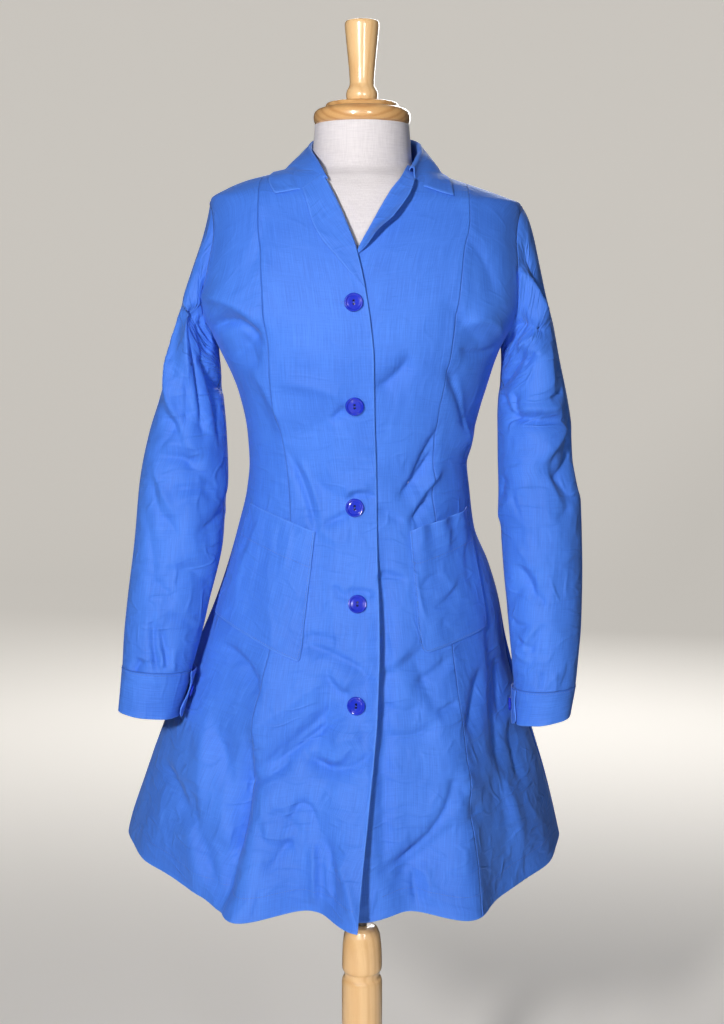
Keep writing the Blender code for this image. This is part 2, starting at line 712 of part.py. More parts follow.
def build_cuff(label, side):
    around = np.linspace(0, 1, CUFF_AROUND + 1)
    turn, share = np.meshgrid(around, np.linspace(CUFF_START, 1, CUFF_ROWS + 1))
    points = cuff_surface(side, turn, share)
    points[0] += unit(points[1] - points[0]) * 2 * SEAM
    down = np.gradient(points, axis=0)
    along = np.gradient(points, axis=1)
    normals = unit(np.cross(along, down))
    outward = points - points.mean(1, keepdims=True)
    normals = normals * np.sign(np.sum(normals * outward))
    points, normals = turned_out(points[::-1], normals[::-1])
    cloth("cuff_" + label, points, normals, thick=CUFF_CLOTH, draw=0)
    # The button sits on the lapping end, near its tip.
    small = 0.02
    turn, share = np.array(CUFF_BUTTON_TURN), np.array(CUFF_START + CUFF_BUTTON_DOWN)
    place = cuff_surface(side, turn, share)
    ahead = cuff_surface(side, turn + small, share) - place
    length = cuff_surface(side, turn, share + small) - place
    facing = unit(np.cross(ahead, length))
    middle = (oval(side, share, np.array(0.0)) + oval(side, share, np.array(math.pi))) / 2
    facing = facing * np.sign(np.dot(facing, place - middle))
    build_button("cuff_button_" + label, place + facing * LAID, facing, CUFF_BUTTON_RADIUS)


# Collar: stations round the neck from centre back to the front end.  Each has the
# neck seam, the top of the roll and the leaf's lower edge, for the right and left side.
COLLAR = {
    -1: table(
        "turn seam_x seam_y seam_z roll_x roll_y roll_z edge_x edge_y edge_z",
        (0.00, 0, 77, 1397, 0, 70, 1431, 0, 104, 1384),
        (0.25, 36, 68, 1396, 34, 62, 1430, 52, 90, 1386),
        (0.50, 60, 36, 1393, 57, 32, 1423, 84, 52, 1387),
        (0.70, 66, 8, 1391, 61, 4, 1413, 91, 12, 1384),
        (0.85, 64, -18, 1387, 58, -22, 1404, 96, -22, 1374),
        (1.00, 60, -34, 1382, 54, -42, 1395, 99, -47, 1361),
    ),
    1: table(
        "turn seam_x seam_y seam_z roll_x roll_y roll_z edge_x edge_y edge_z",
        (0.00, 0, 77, 1397, 0, 70, 1431, 0, 104, 1384),
        (0.25, 37, 68, 1396, 37, 62, 1430, 54, 91, 1386),
        (0.50, 61, 36, 1393, 61, 31, 1423, 85, 52, 1386),
        (0.70, 67, 8, 1391, 67, 4, 1415, 90, 12, 1383),
        (0.85, 65, -16, 1389, 66, -21, 1405, 95, -24, 1373),
        (1.00, 62, -28, 1389, 62, -38, 1396, 101, -50, 1361),
    ),
}
ROLL_RADIUS = 3.0
COLLAR_CLOTH = 1.2
LEAF_BULGE = 1.5             # how far the leaf's middle stands out and up from a straight line
LEAF_GAP = 2.0               # how far the leaf's outer face clears the dress
COLLAR_STATIONS = 9          # stations from centre back to each front end


def collar_section(side, turn):
    """Points across the collar: up the stand, over the roll and down the leaf."""
    rows = COLLAR[side]

    def spot(part):
        return np.array([side * read(rows, part + "_x", turn), read(rows, part + "_y", turn),
                         read(rows, part + "_z", turn)])

    seam, roll, edge = spot("seam"), spot("roll"), spot("edge")
    out = unit((edge - seam) * np.array([1, 1, 0]))
    up = np.array([0.0, 0.0, 1.0])
    centre = roll - up * ROLL_RADIUS
    arc = [centre + ROLL_RADIUS * (up * math.sin(a) - out * math.cos(a))
           for a in np.radians([0, 60, 120, 180])]
    middle = (arc[-1] + edge) / 2 + (out + up) * LEAF_BULGE
    return np.array([seam, *arc, middle, edge])


def build_collar():
    turns = np.linspace(-1, 1, 2 * COLLAR_STATIONS - 1)
    points = np.array([collar_section(-1 if t < 0 else 1, abs(t)) for t in turns])
    points = np.swapaxes(points, 0, 1)
    across = np.gradient(points, axis=0)
    along = np.gradient(points, axis=1)
    normals = unit(np.cross(along, across))
    # The outside of the fold is the side away from the space between stand and leaf.
    middle = points.shape[1] // 2
    if np.dot(normals[-2, middle], np.array([0.0, 1.0, 0.3])) < 0:
        normals = -normals
    points[-2:] = laid_on(FACED, points[-2:], normals[-2:], LEAF_GAP)
    points, normals = ordered(points, normals)
    cloth("collar", points, normals, thick=COLLAR_CLOTH, draw=0)


# Lapels: outer edges, each turned back from its front's turning line.
LAPEL_EDGE = {
    -1: table("share x z", (0.0, 0, 1250), (0.15, -12, 1262), (0.35, -28, 1281), (0.55, -46, 1305),
              (0.72, -56, 1322), (0.86, -61, 1340), (1.0, -66, 1356)),
    1: table("share x z", (0.0, 5, 1293), (0.18, 12, 1301), (0.35, 24, 1313), (0.5, 38, 1325),
             (0.66, 48, 1341), (0.82, 57, 1357), (1.0, 60, 1370)),
}
LAPEL_FROM = {-1: 1245.0, 1: 1292.0}     # where each turning line starts
LAPEL_LIFT = {-1: 0.8, 1: 13.0}          # how far each free edge stands off its front
LAPEL_END = ROLL_TOP - 3                 # top of both lapels
LAPEL_START = 0.04                       # share of the width that the fold itself takes
LAPEL_ROWS, LAPEL_COLUMNS = 12, 4
LAPEL_GAP = 0.96 + CLOTH                 # how far a lapel's outer face clears its front


def build_lapels():
    for label, side, edge, surface in (("right", -1, TOP_EDGE, right_front),
                                       ("left", 1, UNDER_EDGE, body)):
        share = np.linspace(0, 1, LAPEL_ROWS + 1)
        roll_z = LAPEL_FROM[side] + (LAPEL_END - LAPEL_FROM[side]) * share
        roll_x = read(edge, "x", roll_z)
        rim = LAPEL_EDGE[side]
        rim_x, rim_z = read(rim, "x", share), read(rim, "z", share)
        wide = np.linspace(LAPEL_START, 1, LAPEL_COLUMNS + 1)[None]
        x = roll_x[:, None] * (1 - wide) + rim_x[:, None] * wide
        z = roll_z[:, None] * (1 - wide) + rim_z[:, None] * wide
        u = u_at(x, z)
        normals = normal_of(surface, u, z)
        bow = np.sin(math.pi * (0.1 + 0.8 * share))[:, None]
        lift = LAPEL_LIFT[side] * wide ** 1.4 * bow
        points = surface(u, z) + normals * (LAID + CLOTH + lift)[..., None]
        points = laid_on(("front_right", "front_left"), points, normals, LAPEL_GAP)
        points, normals = ordered(points, normals)
        cloth("lapel_" + label, points, normals, draw=0)


# Pockets: corners at the mouth and at the bottom, inner ones first.
POCKET = {
    -1: dict(mouth=((-53, 973), (-129, 999)), floor=((-70, 828), (-176, 868))),
    1: dict(mouth=((54, 973), (122, 994)), floor=((66, 836), (148, 856))),
}
POCKET_GAPE = {-1: 0.6, 1: 2.4}          # how far each mouth stands open
POCKET_ROWS, POCKET_COLUMNS = 8, 10
POCKET_CORNER = 9.0                      # rounding of the lower inner corner
POCKET_OUT = STAND_OFF + CLOTH           # how far a pocket's outer face clears the panels


def build_pockets():
    for label, side in (("right", -1), ("left", 1)):
        corners = POCKET[side]
        down = np.linspace(0, 1, POCKET_ROWS + 1)[:, None]
        wide = np.linspace(0, 1, POCKET_COLUMNS + 1)[None]
        (ax, az), (bx, bz) = corners["mouth"]
        (cx, cz), (dx, dz) = corners["floor"]
        x = (ax * (1 - wide) + bx * wide) * (1 - down) + (cx * (1 - wide) + dx * wide) * down
        z = (az * (1 - wide) + bz * wide) * (1 - down) + (cz * (1 - wide) + dz * wide) * down
        rounding = POCKET_CORNER * down ** 6 * (1 - wide) ** 6
        x = x + side * rounding
        z = z + rounding
        u = u_at(x, z)
        normals = normal_of(body, u, z)
        gape = POCKET_GAPE[side] * (1 - down) ** 3 * np.sin(math.pi * wide)
        points = body(u, z) + normals * (POCKET_OUT + gape)[..., None]
        below = ("front_" + label, "side_front_" + label)
        points = laid_on(below, points, normals, POCKET_OUT)
        points, normals = ordered(points[::-1], normals[::-1])
        cloth("pocket_" + label, points, normals, draw=0)


# Buttons: a turned profile of radius and height, as shares of the button's radius.
BUTTON_RADIUS = 10.5
BUTTON_PROFILE = table(
    "radius height",
    (0.0, 0.0), (0.80, 0.0), (1.0, 0.14), (0.97, 0.28), (0.82, 0.30), (0.68, 0.20), (0.0, 0.20),
)
BUTTONS = table("x z", (-9, 1230), (-8, 1116), (-8, 1001), (-5, 894), (-6, 783))


def turned(name, profile, looks, segments, place=(0, 0, 0), axis=(0, 0, 1)):
    """A solid turned from a table of radius and height; a radius of 0 closes an end."""
    axis = unit(np.array(axis, float))
    first = unit(np.cross(axis, (0, 1, 0) if abs(axis[1]) < 0.9 else (1, 0, 0)))
    second = np.cross(axis, first)
    vertices, rings, faces = [], [], []
    for radius, height in zip(profile["radius"], profile["height"]):
        foot = np.array(place, float) + axis * height
        if radius == 0:
            rings.append([len(vertices)])
            vertices.append(foot)
            continue
        rings.append(list(range(len(vertices), len(vertices) + segments)))
        for k in range(segments):
            angle = 2 * math.pi * k / segments
            vertices.append(foot + radius * (first * math.cos(angle) + second * math.sin(angle)))
    for low, high in zip(rings, rings[1:]):
        for k in range(segments):
            n = (k + 1) % segments
            if len(low) == 1:
                faces.append((low[0], high[n], high[k]))
            elif len(high) == 1:
                faces.append((low[k], low[n], high[0]))
            else:
                faces.append((low[k], low[n], high[n], high[k]))
    return make_object(name, vertices, faces, looks)


def build_button(name, place, facing, radius):
    profile = {key: share * radius for key, share in BUTTON_PROFILE.items()}
    turned(name, profile, PLASTIC, 16, place, facing)


def build_buttons():
    for number, (x, z) in enumerate(zip(BUTTONS["x"], BUTTONS["z"]), 1):
        u = u_at(x, z)
        facing = normal_of(right_front, u, z)
        place = laid_on(["front_right"], right_front(u, z)[None], facing[None], 2 * SEAM)[0]
        build_button(f"button_{number}", place, facing, BUTTON_RADIUS)


# The dress form's torso, with the same kind of sections, clear of the cloth all round.
FORM = table(
    "z right left side_y front back flat square",
    (797, 152, 152, 4, 108, 108, 0.58, 0.50), (804, 158, 158, 4, 116, 116, 0.58, 0.50),
    (860, 155, 155, 3, 116, 116, 0.58, 0.50), (920, 140, 140, 1, 103, 104, 0.58, 0.50),
    (980, 121, 121, 0, 95, 93, 0.58, 0.50), (1040, 114, 114, 0, 92, 88, 0.58, 0.52),
    (1100, 124, 124, 0, 99, 90, 0.60, 0.54), (1160, 146, 146, 0, 110, 94, 0.62, 0.58),
    (1210, 158, 158, 2, 114, 95, 0.62, 0.60), (1260, 162, 162, 4, 108, 94, 0.60, 0.62),
    (1310, 165, 165, 7, 95, 90, 0.58, 0.62), (1342, 165, 165, 9, 83, 86, 0.56, 0.60),
    (1359, 152, 140, 11, 75, 81, 0.55, 0.56), (1368, 129.5, 114.6, 12, 69.7, 77.5, 0.55, 0.55),
    (1374, 100, 89, 12, 65, 69, 0.55, 0.55), (1379, 75, 72, 11, 60, 63, 0.55, 0.55),
    (1385, 62.5, 62.5, 8, 56, 60, 0.55, 0.55), (1394, 58.5, 58.5, 5, 54, 57, 0.55, 0.55),
    (1410, 57, 57, 3, 53, 57, 0.55, 0.55), (1436, 55, 55, 0, 54, 54, 0.55, 0.55),
)
FORM_AROUND = 28             # faces round the torso
CHEST_LEVELS = np.linspace(830, 1340, 12)    # levels between its foot and its shoulders
SHOULDERS_FROM = 12          # first row of the table that lies above those levels


def build_form():
    z = np.concatenate([FORM["z"][:2], CHEST_LEVELS, FORM["z"][SHOULDERS_FROM:]])
    u = np.linspace(-2, 2, FORM_AROUND, endpoint=False)
    u, z = np.meshgrid(u, z)
    points = section(FORM, u, z)
    rows = points.shape[0]
    vertices = points.reshape(-1, 3)
    faces = []
    for i in range(rows - 1):
        for j in range(FORM_AROUND):
            n = (j + 1) % FORM_AROUND
            faces.append((i * FORM_AROUND + j, i * FORM_AROUND + n,
                          (i + 1) * FORM_AROUND + n, (i + 1) * FORM_AROUND + j))
    faces.append(tuple(range(FORM_AROUND - 1, -1, -1)))
    faces.append(tuple((rows - 1) * FORM_AROUND + j for j in range(FORM_AROUND)))
    make_object("form_torso", vertices, faces, LINEN)


# Turned pieces, with heights from the floor.
FORM_FOOT, NECK_TOP = FORM["z"][0], FORM["z"][-1]
CAP_TOP = NECK_TOP + 25
POST_TOP = 468.0
BASE_THICK = 30.0
CAP = table(
    "radius height",
    (0, NECK_TOP + SEAM), (52.5, NECK_TOP + SEAM), (55.5, NECK_TOP + 4), (56, NECK_TOP + 11),
    (54, NECK_TOP + 16), (46, NECK_TOP + 19), (41, NECK_TOP + 20), (39.5, CAP_TOP - 2),
    (38, CAP_TOP), (0, CAP_TOP),
)
FINIAL = table(
    "radius height",
    (0, CAP_TOP + SEAM), (14, CAP_TOP + SEAM), (18, CAP_TOP + 6), (18.5, CAP_TOP + 11),
    (16, CAP_TOP + 17), (14.2, CAP_TOP + 21), (15.5, CAP_TOP + 40), (18.2, CAP_TOP + 70),
    (20, CAP_TOP + 88), (19.2, CAP_TOP + 92), (16, CAP_TOP + 93), (0, CAP_TOP + 93),
)
ROD = table(
    "radius height",
    (0, POST_TOP + SEAM), (6, POST_TOP + SEAM), (6, FORM_FOOT - SEAM), (0, FORM_FOOT - SEAM),
)
POST = table(
    "radius height",
    (0, BASE_THICK + SEAM), (32, BASE_THICK + SEAM), (32, 38), (26, 46), (25, 60), (25, 398),
    (22, 403), (22, 409), (24.5, 414), (24, 440), (22.5, 458), (18, 466), (12, POST_TOP),
    (0, POST_TOP),
)
BASE = table(
    "radius height",
    (0, 0), (198, 0), (202, 4), (202, 16), (196, 25), (184, BASE_THICK), (0, BASE_THICK),
)


def build_stand():
    turned("neck_cap", CAP, WOOD, 28)
    turned("finial", FINIAL, WOOD, 20)
    turned("rod", ROD, STEEL, 14)
    turned("post", POST, WOOD, 20)
    turned("base", BASE, WOOD, 40)


def main():
    for thing in list(bpy.data.objects):
        bpy.data.objects.remove(thing)
    build_fronts()
    build_sides_and_back()
    build_sleeves()
    build_collar()
    build_lapels()
    build_pockets()
    build_buttons()
    build_form()
    build_stand()


main()
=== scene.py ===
"""A nurse's uniform dress buttoned on a limbless dress form, dressed for its picture.

Sizes are in millimetres, with z up from the floor and the front facing -y; the wearer's right
side is at -x.  Each cloth piece is a thin shell on one body surface, read from level sections
by a place u round the body, 0 at centre front, -1 and 1 at the side seams and 2 behind.
"""
import math

import bpy
import numpy as np
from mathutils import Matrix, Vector


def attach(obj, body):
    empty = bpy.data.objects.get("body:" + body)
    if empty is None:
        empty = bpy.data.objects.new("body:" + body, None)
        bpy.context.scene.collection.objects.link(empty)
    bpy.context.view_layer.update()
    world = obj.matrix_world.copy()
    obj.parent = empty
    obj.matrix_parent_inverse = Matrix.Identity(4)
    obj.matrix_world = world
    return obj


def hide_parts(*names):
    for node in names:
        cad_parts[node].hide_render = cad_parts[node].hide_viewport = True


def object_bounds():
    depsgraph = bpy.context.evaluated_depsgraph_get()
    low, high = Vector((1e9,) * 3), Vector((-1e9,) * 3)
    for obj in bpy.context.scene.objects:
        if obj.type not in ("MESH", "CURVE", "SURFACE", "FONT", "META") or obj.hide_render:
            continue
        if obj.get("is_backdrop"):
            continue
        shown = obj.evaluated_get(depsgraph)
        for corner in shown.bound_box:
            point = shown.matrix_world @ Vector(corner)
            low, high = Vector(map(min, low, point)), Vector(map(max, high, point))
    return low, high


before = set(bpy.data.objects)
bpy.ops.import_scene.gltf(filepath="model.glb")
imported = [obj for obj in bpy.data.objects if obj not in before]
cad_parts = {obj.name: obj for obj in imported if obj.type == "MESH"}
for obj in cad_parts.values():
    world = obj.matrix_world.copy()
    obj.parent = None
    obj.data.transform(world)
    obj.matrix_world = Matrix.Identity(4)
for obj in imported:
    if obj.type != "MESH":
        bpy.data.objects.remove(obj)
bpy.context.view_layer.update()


# Torso of the dress form
# A padded shell sewn from panels of plain off-white linen, closed by a board at its foot
# and by the wooden cap at its neck.  Only its neck shows above the collar.
MM = 0.001


def table(columns, *rows):
    """Rows of numbers as one array for each named column."""
    return dict(zip(columns.split(), np.array(rows, float).T))


def smooth(x, xs, ys):
    """A cubic curve through the points (xs, ys) whose grades are limited, so it never swings."""
    step = np.diff(xs)
    slope = np.diff(ys) / step
    near, far = slope[:-1], slope[1:]
    weight_near = 2 * step[1:] + step[:-1]
    weight_far = step[1:] + 2 * step[:-1]
    flat = near * far <= 0
    safe_near = np.where(flat, 1.0, near)
    safe_far = np.where(flat, 1.0, far)
    mean = (weight_near + weight_far) / (weight_near / safe_near + weight_far / safe_far)
    grade = np.concatenate([slope[:1], np.where(flat, 0.0, mean), slope[-1:]])
    x = np.clip(x, xs[0], xs[-1])
    k = np.clip(np.searchsorted(xs, x, side="right") - 1, 0, len(step) - 1)
    t = (x - xs[k]) / step[k]
    rise = t * t * (3 - 2 * t)
    bend = step[k] * t * (1 - t) * (grade[k] * (1 - t) - grade[k + 1] * t)
    return ys[k] * (1 - rise) + ys[k + 1] * rise + bend


def read(rows, name, key):
    """One named column of a table, read smoothly at values of its first column."""
    first = next(iter(rows))
    return smooth(key, rows[first], rows[name])


def unit(v):
    """Vectors divided by their lengths."""
    return v / np.maximum(np.linalg.norm(v, axis=-1, keepdims=True), 1e-9)


def ease(x):
    """3 x squared minus 2 x cubed, which climbs from 0 to 1 and is flat beyond both."""
    x = np.clip(x, 0.0, 1.0)
    return x * x * (3 - 2 * x)


def section(rows, u, z):
    """A point on a level section: each quarter is a cubic curve from centre to side.

    Its four control points are the centre, a point beside it that keeps the centre flat,
    a corner in front of the side seam, and the side seam.
    """
    u = (u + 2) % FULL_TURN - 2
    side = np.abs(u)
    ahead = side <= 1
    t = np.where(ahead, side, 2 - side)
    s = 1 - t
    half = np.where(u < 0, -read(rows, "right", z), read(rows, "left", z))
    deep = np.where(ahead, -read(rows, "front", z), read(rows, "back", z))
    side_y = read(rows, "side_y", z)
    corner = side_y + read(rows, "square", z) * (deep - side_y)
    x = half * (3 * s * s * t * read(rows, "flat", z) + 3 * s * t * t + t ** 3)
    y = deep * (s ** 3 + 3 * s * s * t) + corner * 3 * s * t * t + side_y * t ** 3
    return np.stack([x, y, z + 0 * x], -1)


def grid_faces(rows, columns, closed=False, first=0):
    """Four-sided faces of a grid of points; closed joins its last column to its first."""
    i = np.arange(rows - 1)[:, None]
    j = np.arange(columns if closed else columns - 1)[None]
    k = (j + 1) % columns
    corners = [i * columns + j, i * columns + k, (i + 1) * columns + k, (i + 1) * columns + j]
    return np.stack(corners, -1).reshape(-1, 4) + first


def make_piece(name, points, faces, finish, replaces=(), uv=None, values=None, extra=()):
    """A mesh from points in millimetres; uv and values hold one entry for each point.

    faces is an array of four-sided faces and extra a list of faces with other counts.
    """
    mesh = bpy.data.meshes.new(name)
    points = np.asarray(points, float).reshape(-1, 3) * MM
    mesh.from_pydata(points.tolist(), [], faces.tolist() + [list(f) for f in extra])
    mesh.shade_smooth()
    corner = np.empty(len(mesh.loops), np.int32)
    mesh.loops.foreach_get("vertex_index", corner)
    if uv is not None:
        layer = mesh.uv_layers.new(name="cloth")
        layer.data.foreach_set("uv", (uv.reshape(-1, 2)[corner] * MM).astype(np.float32).ravel())
    for key, value in (values or {}).items():
        layer = mesh.attributes.new(key, "FLOAT", "POINT")
        layer.data.foreach_set("value", np.asarray(value, np.float32).ravel())
    mesh.materials.append(finish)
    piece = bpy.data.objects.new(name, mesh)
    bpy.context.scene.collection.objects.link(piece)
    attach(piece, "root")
    if replaces:
        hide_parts(*replaces)
    return piece


class Value:
    """A node's output; sums, differences, products and powers add their Math nodes."""

    def __init__(self, finish, socket):
        self.finish, self.socket = finish, socket

    def worked(self, operation, first, second):
        return self.finish.node("Math", {"operation": operation}, {0: first, 1: second})

    def __add__(self, other):
        return self.worked("ADD", self, other)

    def __sub__(self, other):
        return self.worked("SUBTRACT", self, other)

    def __rsub__(self, other):
        return self.worked("SUBTRACT", other, self)

    def __mul__(self, other):
        return self.worked("MULTIPLY", self, other)

    def __pow__(self, other):
        return self.worked("POWER", self, other)

    __radd__ = __add__
    __rmul__ = __mul__


class Finish:
    """A material with one Principled shader, whose fixed values are given by socket name."""

    def __init__(self, name, **fixed):
        self.material = bpy.data.materials.new(name)
        self.material.use_nodes = True
        self.nodes = self.material.node_tree.nodes
        self.shader = self.nodes["Principled BSDF"]
        self.shading(fixed)

    def shading(self, values):
        """Puts values on the shader's sockets, which are named in small letters here."""
        for key, value in values.items():
            self.put(self.shader.inputs[key.replace("_", " ").title().replace("Ior", "IOR")], value)

    def put(self, socket, value):
        """Links a Value to a socket, or sets the socket's own number or colour."""
        if isinstance(value, Value):
            self.material.node_tree.links.new(value.socket, socket)
        elif hasattr(value, "__len__") and len(value) == 3 and socket.type == "RGBA":
            socket.default_value = (*value, 1.0)
        else:
            socket.default_value = value

    def node(self, kind, settings=(), inputs=(), output=0):
        """A node of a kind, its settings (a ramp's stops too), then its sockets."""
        made = self.nodes.new("ShaderNode" + kind)
        for key, value in dict(settings).items():
            if key == "stops":
                ramp = made.color_ramp.elements
                for element, (place, shade) in zip(ramp, value):
                    element.position, element.color = place, (*shade, 1.0)
                for place, shade in value[2:]:
                    ramp.new(place).color = (*shade, 1.0)
            else:
                setattr(made, key, value)
        for key, value in dict(inputs).items():
            self.put(made.inputs[key], value)
        return Value(self, made.outputs[output])

    def parts(self, vector):
        """The x, y and z of a vector as three Values."""
        split = self.node("SeparateXYZ", {}, {0: vector})
        return [Value(self, socket) for socket in split.socket.node.outputs]

    def noise(self, vector, stretch, detail=2.0, rough=0.5):
        """Cloudy noise from 0 to 1, stretched by three factors."""
        spread = self.node("Mapping", {}, {"Vector": vector, "Scale": stretch})
        return self.node("TexNoise", {}, {"Vector": spread, "Scale": 1.0, "Detail": detail,
                                          "Roughness": rough})

    def clear(self, value, low, high):
        """0 below low and 1 above high, smooth between."""
        return self.node("MapRange", {"interpolation_type": "SMOOTHSTEP"},
                         {"Value": value, "From Min": low, "From Max": high})

    def ridges(self, vector, stretch, width, detail=1.0):
        """Thin raised lines where a cloudy noise passes its middle, 1 at their tops."""
        off = self.node("Math", {"operation": "ABSOLUTE"},
                        {0: self.noise(vector, stretch, detail) - 0.5})
        return 1 - self.clear(off, 0.0, width)

    def mixed(self, factor, first, second):
        """A colour between two others."""
        return self.node("Mix", {"data_type": "RGBA"}, {0: factor, 6: first, 7: second}, 2)

    def finished(self, height=None, depth=1.0, **driven):
        """Feeds the shader's driven sockets, and its normal from a height in millimetres."""
        self.shading(driven)
        if height is not None:
            bump = self.node("Bump", {}, {"Strength": 1.0, "Distance": depth * MM, "Height": height})
            self.put(self.shader.inputs["Normal"], bump)
        return self.material


def linen_finish():
    """Fine plain weave with slightly uneven threads."""
    linen = Finish("linen", roughness=0.85, sheen_weight=0.15, sheen_roughness=0.5)
    place = linen.node("TexCoord", {}, {}, "Object")
    across = linen.noise(place, (900, 900, 45))
    along = linen.noise(place, (60, 60, 1100))
    blotch = linen.noise(place, (22, 22, 22))
    threads = across * 0.5 + along * 0.5
    colour = linen.mixed(linen.clear(threads * 0.8 + blotch * 0.2, 0.32, 0.68),
                         (0.60, 0.56, 0.575), (0.71, 0.67, 0.68))
    return linen.finished(height=threads, depth=0.35, base_color=colour)


FULL_TURN = 4                # the change of u once round the body
FORM = table(
    "z right left side_y front back flat square",
    (797, 152, 152, 4, 108, 108, 0.58, 0.50), (804, 158, 158, 4, 116, 116, 0.58, 0.50),
    (860, 155, 155, 3, 116, 116, 0.58, 0.50), (920, 140, 140, 1, 103, 104, 0.58, 0.50),
    (980, 121, 121, 0, 95, 93, 0.58, 0.50), (1040, 114, 114, 0, 92, 88, 0.58, 0.52),
    (1100, 124, 124, 0, 99, 90, 0.60, 0.54), (1160, 146, 146, 0, 110, 94, 0.62, 0.58),
    (1210, 158, 158, 2, 114, 95, 0.62, 0.60), (1260, 162, 162, 4, 108, 94, 0.60, 0.62),
    (1310, 165, 165, 7, 95, 90, 0.58, 0.62), (1342, 165, 165, 9, 83, 86, 0.56, 0.60),
    (1359, 152, 140, 11, 75, 81, 0.55, 0.56), (1368, 128, 113, 12, 69, 76, 0.55, 0.55),
    (1374, 100, 89, 12, 65, 69, 0.55, 0.55), (1379, 75, 72, 11, 60, 63, 0.55, 0.55),
    (1385, 62.5, 62.5, 8, 56, 60, 0.55, 0.55), (1394, 58.5, 58.5, 5, 54, 57, 0.55, 0.55),
    (1410, 57, 57, 3, 53, 57, 0.55, 0.55), (1436, 55, 55, 0, 54, 54, 0.55, 0.55),
)
FORM_AROUND = 128
FORM_SEAM = 0.005            # depth of the groove between two linen panels, a share of its radius
FORM_SEAM_HALF = 0.012       # half its width, as a share of a panel
FORM_SEAMS = 8               # panels round the form

form_z = np.concatenate([[797, 797.6, 799, 801.5], np.linspace(804, 1340, 90),
                         np.linspace(1342, 1436, 60)])
form_u, form_z = np.meshgrid(np.linspace(-2, 2, FORM_AROUND, endpoint=False), form_z)
form_points = section(FORM, form_u, form_z)
seam_off = np.abs((form_u * FORM_SEAMS / FULL_TURN + 0.5) % 1 - 0.5)
groove = 1 - FORM_SEAM * np.exp(-(seam_off / FORM_SEAM_HALF) ** 2)
form_points[..., :2] *= groove[..., None]
form_rows = form_points.shape[0]
make_piece("linen_torso", form_points, grid_faces(form_rows, FORM_AROUND, closed=True),
           linen_finish(), ["form_torso"],
           extra=[range(FORM_AROUND - 1, -1, -1),
                  range((form_rows - 1) * FORM_AROUND, form_rows * FORM_AROUND)])


# Cap, finial, post and base
# Turned from light maple on a lathe, sanded and varnished until they shine.  The cap is cut
# across the plank, so its grain runs sideways; the finial and post run with the grain.
def rounded(profile, corner):
    """A turned profile of (radius, height), its corners cut back and joined by short curves.

    Each inner corner is replaced by a parabola from its one side to its other, whose ends lie
    the corner's length away from it.
    """
    corners = np.stack([profile["radius"], profile["height"]], -1)
    line = [corners[:1]]
    bend = np.linspace(0, 1, 5)[:, None]
    for before, here, after in zip(corners, corners[1:], corners[2:]):
        back, on = before - here, after - here
        start = here + back * min(corner / np.linalg.norm(back), 0.45)
        end = here + on * min(corner / np.linalg.norm(on), 0.45)
        line.append((1 - bend) ** 2 * start + 2 * bend * (1 - bend) * here + bend ** 2 * end)
    line.append(corners[-1:])
    return np.concatenate(line)


def full_turn(count):
    """Angles of equal steps once round."""
    return np.linspace(0, 2 * math.pi, count, endpoint=False)


def turned_piece(name, profile, finish, replaces, around=128, corner=1.2):
    """A profile carried round the z axis; its two ends lie on the axis and close in fans."""
    line = rounded(profile, corner)[1:-1]
    angle = full_turn(around)
    radius, height = line[:, 0][:, None], line[:, 1][:, None]
    ring = np.stack([radius * np.cos(angle), radius * np.sin(angle), height + 0 * angle], -1)
    count = ring.shape[0] * around
    ends = np.array([[0, 0, line[0, 1]], [0, 0, line[-1, 1]]])
    points = np.concatenate([ring.reshape(-1, 3), ends])
    j = np.arange(around)
    k = (j + 1) % around
    foot = np.stack([k, j, 0 * j + count], -1)
    head = np.stack([j, k, 0 * j + 1], -1) + [count - around, count - around, count]
    return make_piece(name, points, grid_faces(ring.shape[0], around, closed=True), finish,
                      replaces, extra=foot.tolist() + head.tolist())


def maple_finish(name, along, centre, light, dark):
    """Varnished maple: rings round a tree's axis that lies off the piece, with fine pores."""
    wood = Finish(name, roughness=0.34, coat_weight=0.7, coat_roughness=0.07, specular_ior_level=0.5)
    place = wood.node("TexCoord", {}, {}, "Object")
    stretch = {"z": (30, 30, 3), "x": (3, 30, 30)}[along]
    sway = wood.noise(place, stretch, 3.0)
    x, y, z = wood.parts(place)
    first, second = (x, y) if along == "z" else (y, z)
    radius = ((first - centre[0]) ** 2 + (second - centre[1]) ** 2) ** 0.5
    ring = radius * 260 + sway * 1.6
    wave = wood.node("Math", {"operation": "PINGPONG"}, {0: ring, 1: 1.0})
    band = wood.clear(wave, 0.35, 1.0)
    fine = wood.noise(place, {"z": (1500, 1500, 40), "x": (40, 1500, 1500)}[along], 2.0)
    warm = wood.noise(place, {"z": (14, 14, 5), "x": (5, 14, 14)}[along], 2.0)
    shade = wood.clear(band * 0.26 + fine * 0.42 + warm * 0.38, 0.2, 0.85)
    return wood.finished(height=fine * 0.5 + band * 0.3, depth=0.05,
                         base_color=wood.mixed(shade, light, dark))


